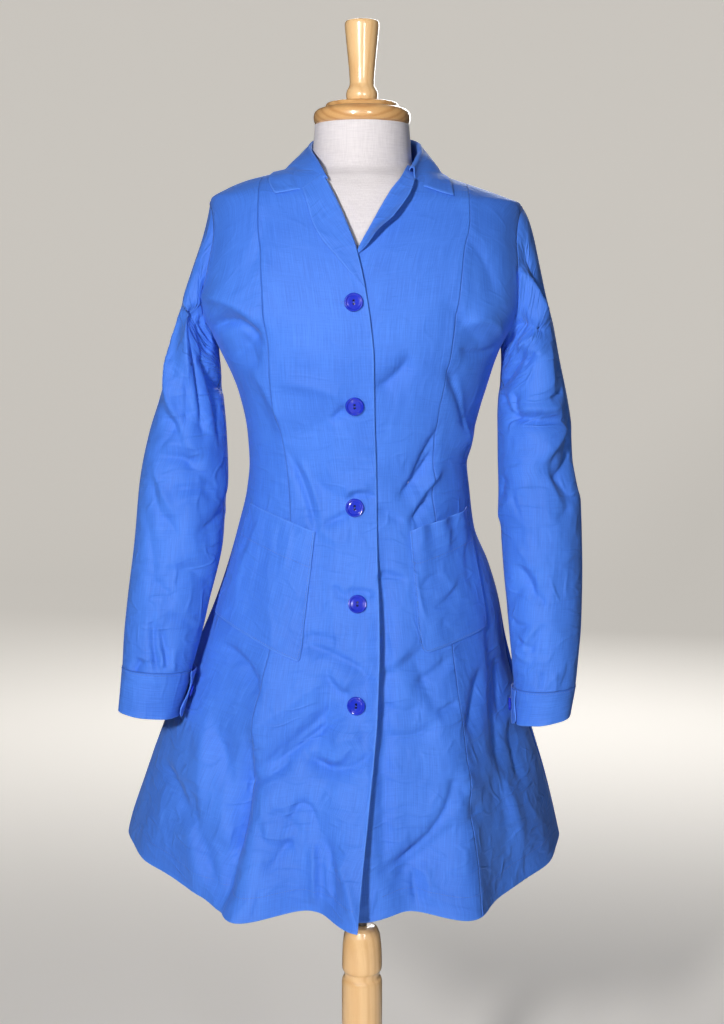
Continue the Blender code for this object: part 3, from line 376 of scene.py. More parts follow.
NECK_TOP = 1436.0
CAP_TOP = NECK_TOP + 25
POST_TOP = 468.0
BASE_THICK = 30.0
SEAM = 0.3                   # gap between two pieces that meet
CAP = table(
    "radius height",
    (0, NECK_TOP + SEAM), (52.5, NECK_TOP + SEAM), (54.9, NECK_TOP + 2), (56.2, NECK_TOP + 6),
    (56.3, NECK_TOP + 10), (55.2, NECK_TOP + 14), (52, NECK_TOP + 17), (47, NECK_TOP + 18.7),
    (43.6, NECK_TOP + 19.2), (43.0, NECK_TOP + 20.2), (42.4, NECK_TOP + 21.2),
    (41.6, CAP_TOP - 1), (39.5, CAP_TOP), (0, CAP_TOP),
)
FINIAL = table(
    "radius height",
    (0, CAP_TOP + SEAM), (14, CAP_TOP + SEAM), (16.6, CAP_TOP + 2.5), (18.2, CAP_TOP + 6),
    (18.5, CAP_TOP + 10), (17.6, CAP_TOP + 14.5), (15.4, CAP_TOP + 18.2), (14.3, CAP_TOP + 21),
    (14.3, CAP_TOP + 27), (15.0, CAP_TOP + 38), (16.6, CAP_TOP + 54), (18.4, CAP_TOP + 72),
    (19.7, CAP_TOP + 85), (20, CAP_TOP + 89), (19.2, CAP_TOP + 92), (16.5, CAP_TOP + 93),
    (0, CAP_TOP + 93),
)
POST = table(
    "radius height",
    (0, BASE_THICK + SEAM), (32, BASE_THICK + SEAM), (32.5, 34), (31.5, 39), (27, 45), (25.2, 52),
    (25, 64), (25, 396), (24.4, 400), (22.2, 402.5), (21.8, 406), (22.2, 409.5), (24.2, 412),
    (24.8, 416), (24.6, 430), (23.9, 444), (22.3, 457), (19.4, 464.5), (16, POST_TOP - 0.6),
    (12, POST_TOP), (0, POST_TOP),
)
BASE = table(
    "radius height",
    (0, 0), (198, 0), (201, 1.5), (202, 4), (202, 15), (201, 19), (197, 23.5), (191, 27.2),
    (184, 29.4), (178, BASE_THICK), (0, BASE_THICK),
)
cap_maple = maple_finish("cap_maple", "x", (0.03, 1.36), (0.72, 0.42, 0.17), (0.50, 0.235, 0.075))
pale_maple = maple_finish("pale_maple", "z", (0.05, 0.06), (0.86, 0.57, 0.28), (0.74, 0.44, 0.19))
turned_piece("turned_cap", CAP, cap_maple, ["neck_cap"])
turned_piece("turned_finial", FINIAL, pale_maple, ["finial"], 96)
turned_piece("turned_post", POST, pale_maple, ["post"], 96)
turned_piece("turned_base", BASE, cap_maple, ["base"], 192)


# Rod
# A plain steel rod between post and torso, darkened by age, with fine drawn lines.
def steel_finish():
    """Dark steel with fine lines along the rod and cloudy grime."""
    steel = Finish("dark_steel", metallic=0.9, roughness=0.38)
    place = steel.node("TexCoord", {}, {}, "Object")
    lines = steel.noise(place, (2400, 2400, 40))
    grime = steel.noise(place, (60, 60, 25), 3.0)
    colour = steel.mixed(grime, (0.10, 0.10, 0.105), (0.26, 0.255, 0.25))
    return steel.finished(height=lines, depth=0.03, base_color=colour,
                          roughness=0.28 + grime * 0.25)


FORM_FOOT = 797.0
ROD = table(
    "radius height",
    (0, POST_TOP + SEAM), (6, POST_TOP + SEAM), (6, FORM_FOOT - SEAM), (0, FORM_FOOT - SEAM),
)
turned_piece("steel_rod", ROD, steel_finish(), ["rod"], 48, corner=0.6)


# The worn dress's surface
# Bright blue cotton in a plain weave, cut in seven panels and shaped by princess seams that
# run from the shoulders to the flared hem.  Level sections give its form, tables its folds.
BODY = table(
    "z right left side_y front back flat square",
    (540, 298, 255, 44, 192, 196, 0.60, 0.22),
    (577, 293, 247, 40, 188, 190, 0.60, 0.22),
    (650, 270, 229, 32, 174, 176, 0.60, 0.30),
    (732, 239, 204, 22, 157, 158, 0.60, 0.38),
    (830, 197, 175, 12, 136, 137, 0.60, 0.45),
    (880, 176, 165, 7, 124, 126, 0.60, 0.48),
    (923, 161, 152, 3, 115, 116, 0.60, 0.50),
    (968, 148, 134, 0, 107, 104, 0.60, 0.50),
    (1014, 137, 128, 0, 103, 98, 0.60, 0.52),
    (1044, 134, 125, 0, 103, 96, 0.62, 0.55),
    (1080, 136, 133, 0, 107, 97, 0.64, 0.58),
    (1125, 145, 145, 0, 116, 99, 0.68, 0.62),
    (1182, 170, 164, 0, 124, 102, 0.70, 0.66),
    (1205, 184, 178, 2, 124, 103, 0.70, 0.70),
    (1234, 192, 188, 4, 121, 103, 0.68, 0.74),
    (1269, 188, 190, 6, 115, 102, 0.66, 0.76),
    (1305, 181, 188, 8, 105, 99, 0.64, 0.76),
    (1336, 179, 188, 9, 93, 94, 0.62, 0.72),
    (1346, 178, 186, 10, 89, 92, 0.61, 0.69),
    (1352, 177, 172, 10, 86, 91, 0.60, 0.66),
    (1363, 160, 142, 11, 80, 88, 0.58, 0.60),
    (1372, 139, 115, 12, 75, 86, 0.56, 0.56),
    (1379, 112, 95, 13, 71, 84, 0.55, 0.55),
    (1385, 85, 80, 13, 67, 82, 0.55, 0.55),
    (1391, 69, 69, 14, 63, 80, 0.55, 0.55),
    (1397, 59, 59, 14, 60, 78, 0.55, 0.55),
)

# Hem height round the body.
HEM = table(
    "u z",
    (-2.0, 574), (-1.7, 566), (-1.3, 572), (-1.0, 577), (-0.6, 566), (-0.27, 546), (-0.12, 556),
    (0.0, 548), (0.12, 556), (0.27, 547), (0.6, 560), (1.0, 574), (1.3, 571), (1.7, 565), (2.0, 574),
)

# Folds that open towards the hem, like narrow cones standing on it.
FLUTE_SWEEP = 1.7            # how slowly they open from their tops
FLUTES = table(
    "hem_place top_place top spread height",
    (-0.27, -0.34, 930, 0.080, 36),
    (0.27, 0.34, 930, 0.085, 28),
    (-0.12, -0.12, 760, 0.050, -9),
    (0.13, 0.13, 760, 0.050, -7),
    (-0.66, -0.62, 800, 0.100, 8),
    (0.68, 0.62, 820, 0.100, 7),
    (-1.66, -1.60, 930, 0.110, 30),
    (1.66, 1.60, 930, 0.110, 30),
    (-1.27, -1.30, 800, 0.100, 9),
    (1.25, 1.30, 800, 0.100, 9),
    (2.00, 2.00, 820, 0.120, -10),
)

# Soft troughs (negative) and ridges (positive) from one end to the other, as seen from the
# front (face -1) or the back (face 1); bow is how far the middle of the line swings aside.
CREASE_TAPER = 0.42          # share of a crease over which each end dies out
CREASE_LEAN = 2.0            # how many times its spread a crease reaches on its gentle side
CREASE_STEEP = 0.85          # and on its steep side
CREASE_POWER = 1.25          # how round its top is: 1 is a sharp one and 2 a round one
CREASES = table(
    "face x0 z0 x1 z1 spread height bow",
    # The largest, which the plain solids have too.
    (-1, -131, 696, -24, 787, 9, -9, 0),
    (-1, -40, 812, -150, 730, 14, 6.2, 0),
    (-1, 31, 582, 103, 651, 14, -7.5, 0),
    (-1, 120, 690, 60, 615, 14, 5.4, 0),
    (-1, -81, 1044, -19, 1010, 9, -3.6, 0),
    (-1, -80, 1079, -19, 1112, 9, -2.9, 0),
    (-1, 26, 1044, 88, 1010, 9, -4, 0),
    (-1, -20, 959, -70, 988, 9, 3.2, 0),
    (-1, 97, 1228, 140, 1180, 9, -5.4, 0),
    (-1, -148, 1172, -111, 1205, 9, -5.4, 0),
    (-1, 88, 765, 59, 834, 12, -6.2, 0),
    (-1, -60, 700, -36, 799, 12, -5.4, 0),
    (1, -60, 1045, 70, 1030, 12, -3.5, 0),
    (1, 40, 1082, -90, 1075, 13, 2.5, 0),
    (1, 30, 780, 125, 690, 15, -5, 0),
    (1, -110, 700, -40, 600, 15, -4.5, 0),
    (1, 100, 1220, 150, 1160, 10, -3, 0),
    (1, -150, 1160, -100, 1220, 10, -3, 0),
    # Pulls round the armholes.
    (-1, -112, 1200, -182, 1238, 10, 11, -10),
    (-1, -174, 1206, -116, 1192, 6, -14, 12),
    (-1, -142, 1196, -118, 1160, 4.8, -4.2, 3),
    (-1, 160, 1190, 117, 1205, 5.7, 5.3, -11),
    (-1, 114, 1178, 152, 1181, 3.8, -4.8, -4),
    (-1, -122, 1270, -112, 1330, 6.6, -3.1, -3),
    (-1, 118, 1300, 150, 1240, 8.5, -3.2, 6),
    # Pulls at the buttons and across the waist.
    (-1, -34, 1101, -17, 1116, 3.3, -6.1, 0),
    (-1, -24, 1124, -90, 1139, 6.6, 5, -4),
    (-1, 17, 1137, 52, 1169, 6.6, -7.4, -3),
    (-1, -17, 1010, 14, 1014, 2.4, -5.3, 5),
    (-1, 10, 1020, -20, 1017, 3.8, 4.2, -4),
    (-1, -42, 982, -17, 994, 3.8, -6.4, 0),
    (-1, -52, 975, -83, 1058, 3.8, -6.2, -2),
    (-1, -70, 1052, -44, 990, 4.8, 4.6, 2),
    (-1, 57, 1030, 86, 1088, 3.8, -5.6, 2),
    (-1, 43, 1014, 80, 1062, 3.8, -7.2, -3),
    (-1, 56, 982, 76, 1012, 3.8, -6.4, 0),
    (-1, 90, 1040, 62, 1002, 3.8, 5, 0),
    (-1, 119, 1084, 97, 1154, 6.6, -9.9, -3),
    (-1, 108, 1148, 124, 1058, 6.6, 7, 2),
    (-1, -90, 1092, -124, 1158, 9.5, 6.8, -3),
    (-1, -32, 913, -15, 898, 2.8, -4.7, 0),
    (-1, -17, 907, 13, 905, 2.4, -4.8, 2),
    (-1, 18, 926, 50, 919, 3.8, -4.8, 2),
    (-1, 20, 1000, 46, 985, 3.8, -3.8, 0),
    # The skirt's smaller folds.
    (-1, -66, 856, -26, 852, 3.8, -4.7, 3),
    (-1, -40, 822, -15, 795, 4.8, -6.5, -7),
    (-1, 15, 815, -22, 800, 5.7, 6.5, -9),
    (-1, 62, 854, 20, 822, 6.6, 3, 3),
    (-1, 22, 812, 66, 842, 5.7, -3, -3),
    (-1, 86, 771, 107, 779, 2.8, -5.3, 0),
    (-1, 28, 749, 80, 756, 6.6, -6.2, -5),
    (-1, -52, 719, -8, 731, 7, -7.8, -9),
    (-1, -4, 752, -34, 742, 8.5, 5.6, 0),
    (-1, 90, 702, 127, 650, 7.6, -4, 4),
    (-1, 136, 664, 104, 706, 7.6, 3, -4),
    (-1, 63, 566, 60, 598, 4.8, -7, 0),
    (-1, 72, 606, 76, 566, 5.7, 4.8, 0),
    (-1, -32, 571, -39, 634, 4.8, -10.5, -4),
    (-1, -30, 622, -8, 562, 5.7, 9, 4),
    (-1, -54, 632, -53, 566, 4.8, 8.6, 0),
    (-1, -102, 600, -78, 632, 5.7, -6.4, 3),
    (-1, -99, 664, -70, 644, 6.6, -4.7, 0),
    (-1, -143, 622, -172, 748, 8.5, -9, -5),
    (-1, -147, 600, -131, 690, 7.6, -8.6, 0),
    (-1, -149, 563, -162, 622, 6.6, -7.9, 0),
    (-1, 156, 650, 149, 856, 9.5, -9.8, -4),
    (-1, 112, 644, 157, 688, 7.6, -2, 3),
    (-1, 160, 700, 190, 590, 9.5, 8.9, 5),
    (-1, -151, 548, -128, 740, 12, -24, 0),
    (-1, 176, 585, 152, 800, 18, -9.6, 0),
    (-1, -110, 708, -16, 776, 4, -7.2, 0),
    (-1, -136, 686, -82, 719, 4, -6.5, -3),
    (-1, -66, 727, 11, 733, 5, -7.3, -18),
    (-1, -113, 651, -78, 633, 5, -5.3, -16),
    (-1, -82, 655, -50, 657, 5, -6.6, 18),
    (-1, -161, 835, -114, 794, 6, -8.1, 6),
    (-1, -236, 686, -197, 634, 9, -9, 4),
    (-1, -158, 559, -193, 666, 7, -9.8, 8),
    (-1, -67, 847, 15, 811, 5, -7.3, 6),
    (-1, 31, 605, 99, 695, 7, -10, -14),
    (-1, 62, 801, 100, 830, 5, -4, 0),
    (-1, 18, 787, 69, 781, 5, -4, -8),
    (-1, 121, 747, 137, 807, 6, -8.1, 0),
    (-1, 152, 823, 161, 661, 6, 8.1, 0),
    (-1, 192, 670, 183, 733, 6, -8.1, 0),
    (-1, 175, 743, 165, 812, 5, -6.5, 0),
    (-1, -176, 765, -190, 560, 12, 11, 0),
    # Hidden sides, of the same kinds.
    (1, -20, 1020, -84, 1000, 7, 1.7, 4),
    (1, 15, 1058, 88, 1078, 6, -1.4, 4),
    (1, -92, 1130, -30, 1105, 7, -1.3, -3),
    (1, 70, 1160, 24, 1120, 8, 1.2, -3),
    (1, -62, 1190, -14, 1240, 9, -1.1, 5),
    (1, 50, 1230, 92, 1290, 8, -1.1, 4),
    (1, -72, 905, -18, 960, 8, -1.8, -4),
    (1, 82, 958, 32, 930, 7, 1.6, 3),
    (1, 10, 870, 62, 820, 9, -2, 5),
    (1, -92, 842, -50, 800, 9, -1.9, 3),
    (1, -20, 760, -64, 690, 9, 1.9, 4),
    (1, 62, 650, 80, 575, 8, -2.2, 3),
    (1, -22, 575, -10, 640, 8, 1.9, -3),
    (1, 150, 730, 172, 620, 9, -2.2, 4),
    (1, -160, 760, -180, 640, 9, -2.2, 4),
)


def level_out(rows, u, z):
    """The level direction that points away from the body."""
    small = 1e-3
    along = section(rows, u + small, z) - section(rows, u - small, z)
    return unit(np.stack([along[..., 1], -along[..., 0], 0 * along[..., 0]], -1))


def ends_fade(along):
    """1 along a crease, from 0 to 1 of its length, and a smooth fall past both ends."""
    return (ease(along / CREASE_TAPER + CREASE_TAPER)
            * ease((1 - along) / CREASE_TAPER + CREASE_TAPER))


def crease(from_x, from_z, run_x, run_z, spread, height, bow):
    """Height of one crease, steep on one side and gentle on the other.

    Its middle swings aside as a parabola; its section falls as e to minus a power of the
    distance, so it has a fairly sharp top.
    """
    length = math.hypot(run_x, run_z)
    along = (from_x * run_x + from_z * run_z) / length ** 2
    across = (from_x * run_z - from_z * run_x) / length
    across = across + bow * 4 * along * (1 - along)
    wide = np.where(across > 0, CREASE_LEAN, CREASE_STEEP) * spread
    return height * ends_fade(along) * np.exp(-np.abs(across / wide) ** CREASE_POWER)


def relief(u, z, place):
    """How far flutes and creases push the cloth out; place is the point before they do."""
    push = 0 * place[..., 0]
    wrapped = (u + 2) % FULL_TURN - 2
    for hem_place, top_place, top, spread, height in zip(*FLUTES.values()):
        down = np.clip((top - z) / (top - HEM["z"].min()), 0, 1.1)
        centre = top_place + (hem_place - top_place) * down
        off = np.abs(wrapped - centre)
        off = np.minimum(off, FULL_TURN - off)
        push = push + height * down ** FLUTE_SWEEP * np.exp(-(off / spread) ** 2)
    for face, x0, z0, x1, z1, spread, height, bow in zip(*CREASES.values()):
        on_face = np.abs(wrapped) <= 1 if face < 0 else np.abs(wrapped) > 1
        fold = crease(place[..., 0] - x0, z - z0, x1 - x0, z1 - z0, spread, height, bow)
        push = push + on_face * fold
    return push


def body(u, z):
    """The worn dress's outer surface."""
    u, z = np.broadcast_arrays(np.asarray(u, float), np.asarray(z, float))
    place = section(BODY, u, z)
    return place + level_out(BODY, u, z) * relief(u, z, place)[..., None]


def normal_of(surface, u, z):
    """Outward direction of a surface given by u and z, from small steps along it."""
    du, dz = 1e-3, 0.5
    along_u = surface(u + du, z) - surface(u - du, z)
    along_z = surface(u, z + dz) - surface(u, z - dz)
    return unit(np.cross(along_u, along_z))


def u_at(x, z, rows=BODY):
    """The front place u where a level section reaches x, found by halving."""
    x, z = np.broadcast_arrays(np.asarray(x, float), np.asarray(z, float))
    low, high = np.zeros(x.shape), np.ones(x.shape)
    sign = np.where(x < 0, -1.0, 1.0)
    for _ in range(26):
        middle = (low + high) / 2
        short = np.abs(section(rows, sign * middle, z)[..., 0]) < np.abs(x)
        low = np.where(short, middle, low)
        high = np.where(short, high, middle)
    return sign * (low + high) / 2


def hem_height(u):
    """The hem's height at a place u, a smooth curve through its table."""
    return smooth((np.asarray(u, float) + 2) % FULL_TURN - 2, HEM["u"], HEM["z"])


# The cotton
# Woven from slightly uneven yarns, so fine slubs run down and across it, with a soft sheen.
# Its seams pucker and their allowances show as a faint step; each seam line is darkened with painted
# shade, and free edges are painted a little paler, as wear and as a painted highlight.
def cotton_finish():
    """Yarns stretched along and across, puckers by the seams and small creases as a relief, with
    painted shade darkening each seam line and free edges painted paler, as wear and as a painted
    highlight.

    The attributes seam and free hold the distance to the nearest sewn and free edge in
    millimetres, and crumple the strength of the small creases.
    """
    cotton = Finish("blue_cotton", sheen_weight=0.18, sheen_roughness=0.4,
                    sheen_tint=(0.50, 0.68, 1.0), specular_ior_level=0.3)
    place = cotton.node("UVMap", {"uv_map": "cloth"})
    warp = cotton.noise(place, (1000, 26, 1), 3.0, 0.6)
    weft = cotton.noise(place, (24, 1100, 1), 3.0, 0.6)
    slub = cotton.clear(cotton.noise(place, (90, 900, 1), 1.0), 0.66, 0.76)
    cloud = cotton.noise(place, (9, 7, 1), 3.0)
    off = cotton.node("Attribute", {"attribute_name": "seam"}, {}, "Fac")
    free = cotton.node("Attribute", {"attribute_name": "free"}, {}, "Fac")
    worn_soft = cotton.node("Attribute", {"attribute_name": "crumple"}, {}, "Fac")
    soft = cotton.noise(place, (34, 24, 1), 2.0, 0.4)
    patch = cotton.clear(cotton.noise(place, (17, 21, 1), 1.0), 0.44, 0.62)
    lines = cotton.ridges(place, (30, 17, 1), 0.075) * patch
    steep = cotton.ridges(place, (15, 40, 1), 0.06) * (1 - patch)
    ripple = cotton.noise(place, (22, 135, 1), 2.0, 0.4)
    near_seam = 1 - cotton.clear(off, 1.0, 17.0)
    near_free = 1 - cotton.clear(free, 0.5, 9.0)
    pucker = ripple * (near_seam + near_free)
    groove = cotton.clear(off, 0.2, 1.1)
    allowance = 1 - cotton.clear(off, 9.0, 11.0)
    wear_and_highlight = 1 - cotton.clear(free, 0.4, 1.8)
    yarns = warp * 0.68 + weft * 0.32
    tone = cotton.clear(yarns * 0.66 + cloud * 0.34 - slub * 0.10, 0.33, 0.67)
    base = cotton.mixed(tone, (0.037, 0.140, 0.600), (0.062, 0.208, 0.760))
    # Free edges painted paler: partly wear, partly a painted highlight.
    base = cotton.mixed(wear_and_highlight * 0.3, base, (0.115, 0.30, 0.86))
    # Painted shade: the colour darkens to deep blue along each seam line, in its groove.
    base = cotton.mixed((1 - groove) * 0.35, base, (0.012, 0.05, 0.28))
    crumpled = (soft * 4.0 + lines * 0.8 + steep * 0.6) * worn_soft
    height = yarns * 0.08 + pucker * 1.1 + groove * 0.35 + allowance * 0.12 + crumpled
    return cotton.finished(height=height, depth=1.0, base_color=base,
                           roughness=0.58 + warp * 0.16)


blue_cotton = cotton_finish()


# Cloth pieces
# Each is a shell of one layer: an outer grid, the same grid set in by the cloth's thickness,
# and a half-round rim all along its edge.
THICK = 0.9                  # the cloth as it shows at an edge
SPACING = 2.95               # about how far apart the grids' lines lie
EDGE_STEPS = np.array([0.0, 0.9, 2.0, 3.4])  # closer lines beside every edge
DRAW = 0.20                  # each edge's pull back from its seam line, to leave a groove
UNDERARM = 1181.0
COVER = {}                   # points and directions of each cloth piece made so far


def spread_shares(width, spacing=SPACING):
    """Shares from 0 to 1 across a width, closer together beside both edges."""
    near = EDGE_STEPS / width
    count = max(int((1 - 2 * near[-1]) * width / spacing), 2)
    inner = np.linspace(near[-1], 1 - near[-1], count + 1)[1:-1]
    return np.concatenate([near, inner, 1 - near[::-1]])


def drawn_in(points, normals, amount, closed=False):
    """The grid with its outermost lines moved inwards along the surface."""
    points = points.copy()
    for axis in (0, 1):
        if closed and axis == 1:
            continue
        for edge, inside in ((0, 1), (-1, -2)):
            line = np.take(points, edge, axis)
            towards = np.take(points, inside, axis) - line
            run = np.gradient(line, axis=0)
            side = unit(np.cross(run, np.take(normals, edge, axis)))
            side = side * np.sign(np.sum(side * towards, -1, keepdims=True))
            if axis == 0:
                points[edge] = line + side * amount
            else:
                points[:, edge] = line + side * amount
    return points


def lengths(points, axis):
    """Distance run along one axis of a grid, from 0 at its start."""
    step = np.linalg.norm(np.diff(points, axis=axis), axis=-1)
    start = np.zeros_like(np.take(step, [0], axis))
    return np.cumsum(np.concatenate([start, step], axis), axis)


def shell(outer, normals, thick, closed=False):
    """Points and faces of a closed shell; closed grids are tubes, open at top and bottom."""
    rows, columns = outer.shape[:2]
    inner = outer - normals * np.asarray(thick)[..., None]
    count = rows * columns
    index = np.arange(count).reshape(rows, columns)
    front = grid_faces(rows, columns, closed)
    back = front[:, ::-1] + count
    if closed:
        loops = [(index[0], outer[0] - outer[1]), (index[-1][::-1], (outer[-1] - outer[-2])[::-1])]
    else:
        away = np.zeros_like(outer)
        away[0] += unit(outer[0] - outer[1])
        away[-1] += unit(outer[-1] - outer[-2])
        away[:, 0] += unit(outer[:, 0] - outer[:, 1])
        away[:, -1] += unit(outer[:, -1] - outer[:, -2])
        loop = np.concatenate([index[0, :-1], index[:-1, -1], index[-1, :0:-1], index[:0:-1, 0]])
        loops = [(loop, away.reshape(-1, 3)[loop])]
    points = [outer.reshape(-1, 3), inner.reshape(-1, 3)]
    faces = [front, back]
    owner = [np.arange(count), np.arange(count)]
    start = 2 * count
    for loop, out in loops:
        a, b = outer.reshape(-1, 3)[loop], inner.reshape(-1, 3)[loop]
        half = np.linalg.norm(a - b, axis=-1, keepdims=True) / 2
        points.append((a + b) / 2 + unit(out) * half * 0.8)
        owner.append(loop)
        here = np.arange(len(loop))
        on = (here + 1) % len(loop)
        faces.append(np.stack([loop[on], loop[here], start + here, start + on], -1))
        faces.append(np.stack([start + on, start + here, loop[here] + count, loop[on] + count], -1))
        start += len(loop)
    return np.concatenate(points), np.concatenate(faces), np.concatenate(owner)


def flat_cut(points, closed=False):
    """Width, length and area that a grid would have as flat cloth."""
    if closed:
        points = np.concatenate([points, points[:, :1]], 1)
    width = lengths(points, 1)[:, -1].max()
    length = lengths(points, 0)[-1].max()
    first = points[1:, 1:] - points[:-1, :-1]
    second = points[1:, :-1] - points[:-1, 1:]
    area = np.linalg.norm(np.cross(first, second), axis=-1).sum() / 2
    return width * MM, length * MM, area * MM * MM


def cloth(name, points, normals, replaces, closed=False,
          thick=THICK, draw=DRAW, seams=(True, True, True, True), uv_turn=0.0, crumple=0.6):
    """A cloth piece from its outer grid, rows running up and columns along +u.

    seams says which of its left, right, bottom and top edges are sewn; the rest are free.
    crumple is how strongly the finish's small creases show.
    """
    if draw:
        points = drawn_in(points, normals, draw, closed)
    across, up = lengths(points, 1), lengths(points, 0)
    total = across[:, -1:]
    height = up[-1:]
    ways = (across, total - across, up, height - up)
    far = 99.0 + 0 * across
    sewn = np.minimum.reduce([far] + [way for way, is_seam in zip(ways, seams) if is_seam])
    free = np.minimum.reduce([far] + [way for way, is_seam in zip(ways, seams) if not is_seam])
    middle = points.shape[1] // 2
    side = across - across[:, middle:middle + 1]
    rise = up[:, middle:middle + 1] + 0 * across
    turn = math.radians(uv_turn)
    uv = np.stack([side * math.cos(turn) - rise * math.sin(turn),
                   side * math.sin(turn) + rise * math.cos(turn)], -1)
    made, faces, owner = shell(points, normals, thick, closed)
    crumple = np.broadcast_to(crumple, sewn.shape)
    values = {"seam": sewn.ravel()[owner], "free": free.ravel()[owner],
              "crumple": crumple.ravel()[owner]}
    piece = make_piece(name, made, faces, blue_cotton, replaces,
                       uv.reshape(-1, 2)[owner], values)
    width, length, area = flat_cut(points, closed)
    COVER[name] = (points[::2, ::2].reshape(-1, 3), normals[::2, ::2].reshape(-1, 3))
    return piece


def ordered(points, normals):
    """The grid turned so that its columns run along +u, which keeps its shell facing out."""
    across = points[0, 1] - points[0, 0]
    if np.dot(np.cross(across, points[1, 0] - points[0, 0]), normals[0, 0]) < 0:
        return points[:, ::-1], normals[:, ::-1]
    return points, normals


# Body panels
# Two fronts, two side fronts, two side backs and a back, seamed from shoulder to hem.  The
# wearer's right front laps over the left one and its corner swings out at the hem.
PRINCESS = table(
    "z right left",
    (540, 146, 120), (600, 144, 121), (650, 138, 118), (740, 122, 114), (800, 112, 108),
    (850, 101, 102), (920, 90, 93), (981, 82, 85), (1021, 84, 82), (1066, 89, 83), (1111, 97, 87),
    (1156, 103, 97), (1200, 107, 104), (1240, 110, 109), (1285, 114, 114), (1325, 117, 121),
    (1366, 116, 120), (1380, 111, 111),
)
BACK_PRINCESS = table(
    "z x",
    (540, 135), (650, 122), (800, 104), (920, 86), (1021, 74), (1110, 84), (1200, 96), (1300, 108),
    (1380, 111),
)
SIDES = (("right", -1), ("left", 1))     # the wearer's sides, with the sign of their x
SHOULDER_Z = {-1: 1378.5, 1: 1372.0}     # where the princess seams meet the shoulder seam
TIP_DROP = {-1: 0.0, 1: 5.0}             # the left shoulder's tip sits a little lower
NECK_Z = 1390.5                          # where the shoulder seam meets the neck seam
ARMHOLE = table(
    "share u z",
    (0.00, 1.00, UNDERARM), (0.15, 0.885, 1194), (0.30, 0.805, 1219), (0.50, 0.755, 1266),
    (0.70, 0.765, 1308), (0.86, 0.83, 1337), (1.00, 1.00, 1351.5),
)
TOP_EDGE = table(
    "z x",
    (540, -5), (600, 0), (680, 8), (780, 17), (860, 19), (950, 17), (1035, 16), (1100, 14),
    (1167, 13), (1211, 9), (1243, 4), (1287, -5), (1324, -19), (1363, -37), (1387, -50),
)
UNDER_EDGE = table(
    "z x",
    (540, -24), (700, -18), (790, -15), (900, -17), (1100, -21), (1200, -22), (1250, -17),
    (1290, -4), (1313, 8), (1335, 20), (1357, 33), (1370, 43), (1387, 52),
)
ROLL_TOP = 1386.0            # top of both turning lines
LAP_LIFT = 3.4               # how far the lapping front rides above the under one
LAP_REACH = (-24.0, -50.0)   # where that lift starts to fade and where it is gone
GAPE = 30.0                  # how far the lapping corner stands off at the hem
GAPE_RANGE = (770.0, 548.0)  # heights where that gape starts and where it is full
GAPE_REACH = (-48.0, -4.0)   # places x where it starts and where it is full
GAPE_SWEEP = 1.6
CURL = 7.0                   # how far the lapping edge curls off the under front
CURL_RANGE = (990.0, 830.0)  # heights where that curl starts and where it is full
CURL_REACH = (2.0, 19.0)     # places x where it starts and where it is full
HEM_GUESS = 0.3              # a place u near the princess seams at the hem, to start from
NECK_SHARE = {"front": 5 / 9, "back": 0.25}      # shares of the top row where the neck starts


def lap(place, z):
    """How far the lapping front stands off the body surface."""
    start, end = LAP_REACH
    over = 1 - ease((place[..., 0] - start) / (end - start))
    top, bottom = GAPE_RANGE
    down = np.clip((top - z) / (top - bottom), 0, 1.1)
    near, far = GAPE_REACH
    swing = ease((place[..., 0] - near) / (far - near))
    top, bottom = CURL_RANGE
    near, far = CURL_REACH
    curl = ease((top - z) / (top - bottom)) * ease((place[..., 0] - near) / (far - near))
    return LAP_LIFT * over + GAPE * down ** GAPE_SWEEP * swing + CURL * curl


def right_front(u, z):
    """The wearer's right front, which laps over the left one."""
    u, z = np.broadcast_arrays(np.asarray(u, float), np.asarray(z, float))
    base = body(u, z)
    return base + level_out(BODY, u, z) * lap(base, z)[..., None]


SINK = 7.0                   # how far the under front sinks beside the lapping edge
SINK_AT, SINK_SPREAD = 25.0, 10.0        # place x and half-width of that hollow
SINK_RANGE = (1000.0, 850.0)             # heights where it starts and where it is full
SINK_END = (580.0, 640.0)    # heights where it is gone again and where it is still full


def left_front(u, z):
    """The wearer's left front, which sinks a little beside the edge that laps over it."""
    u, z = np.broadcast_arrays(np.asarray(u, float), np.asarray(z, float))
    base = body(u, z)
    top, bottom = SINK_RANGE
    gone, full = SINK_END
    depth = SINK * ease((top - z) / (top - bottom)) * ease((z - gone) / (full - gone))
    sink = depth * np.exp(-((base[..., 0] - SINK_AT) / SINK_SPREAD) ** 2)
    return base - level_out(BODY, u, z) * sink[..., None]


def seam_heights(v, hem, top, power):
    """z for v from 0 at the hem by 1 at the underarm to 2 at the top, steps shorter there."""
    above = np.clip(v - 1, 0, 1)
    below = hem + (UNDERARM - hem) * v
    return np.where(v <= 1, below, UNDERARM + (top - UNDERARM) * (1 - (1 - above) ** power))


def princess(side, rows, key, ahead, v):
    """A princess seam as (u, z) for each v; near the shoulder seam it turns to the side."""
    hem = hem_height(side * HEM_GUESS)
    for _ in range(3):
        place = u_at(side * read(rows, key, hem), hem)
        hem = hem_height(place if ahead else np.sign(place) * (2 - np.abs(place)))
    z = seam_heights(v, hem, SHOULDER_Z[side], 1.5)
    u = u_at(side * read(rows, key, z), z)
    if not ahead:
        u = side * (2 - np.abs(u))
    u = u + (side - u) * ease((v - 1.9) / 0.1)
    return np.stack([u, z], -1)


def front_princess(side, v):
    """The seam between a front and its side front."""
    return princess(side, PRINCESS, "right" if side < 0 else "left", True, v)


def back_princess(side, v):
    """The seam between the back and a side back."""
    return princess(side, BACK_PRINCESS, "x", False, v)


def side_seam(side, v):
    """The side seam up to the underarm and then the armhole's front half."""
    share = np.clip(v - 1, 0, 1)
    hem = hem_height(side)
    u = side * np.where(v <= 1, 1.0, read(ARMHOLE, "u", share))
    z = np.where(v <= 1, hem + (UNDERARM - hem) * v,
                 read(ARMHOLE, "z", share) - TIP_DROP[side] * ease(share))
    return np.stack([u, z], -1)


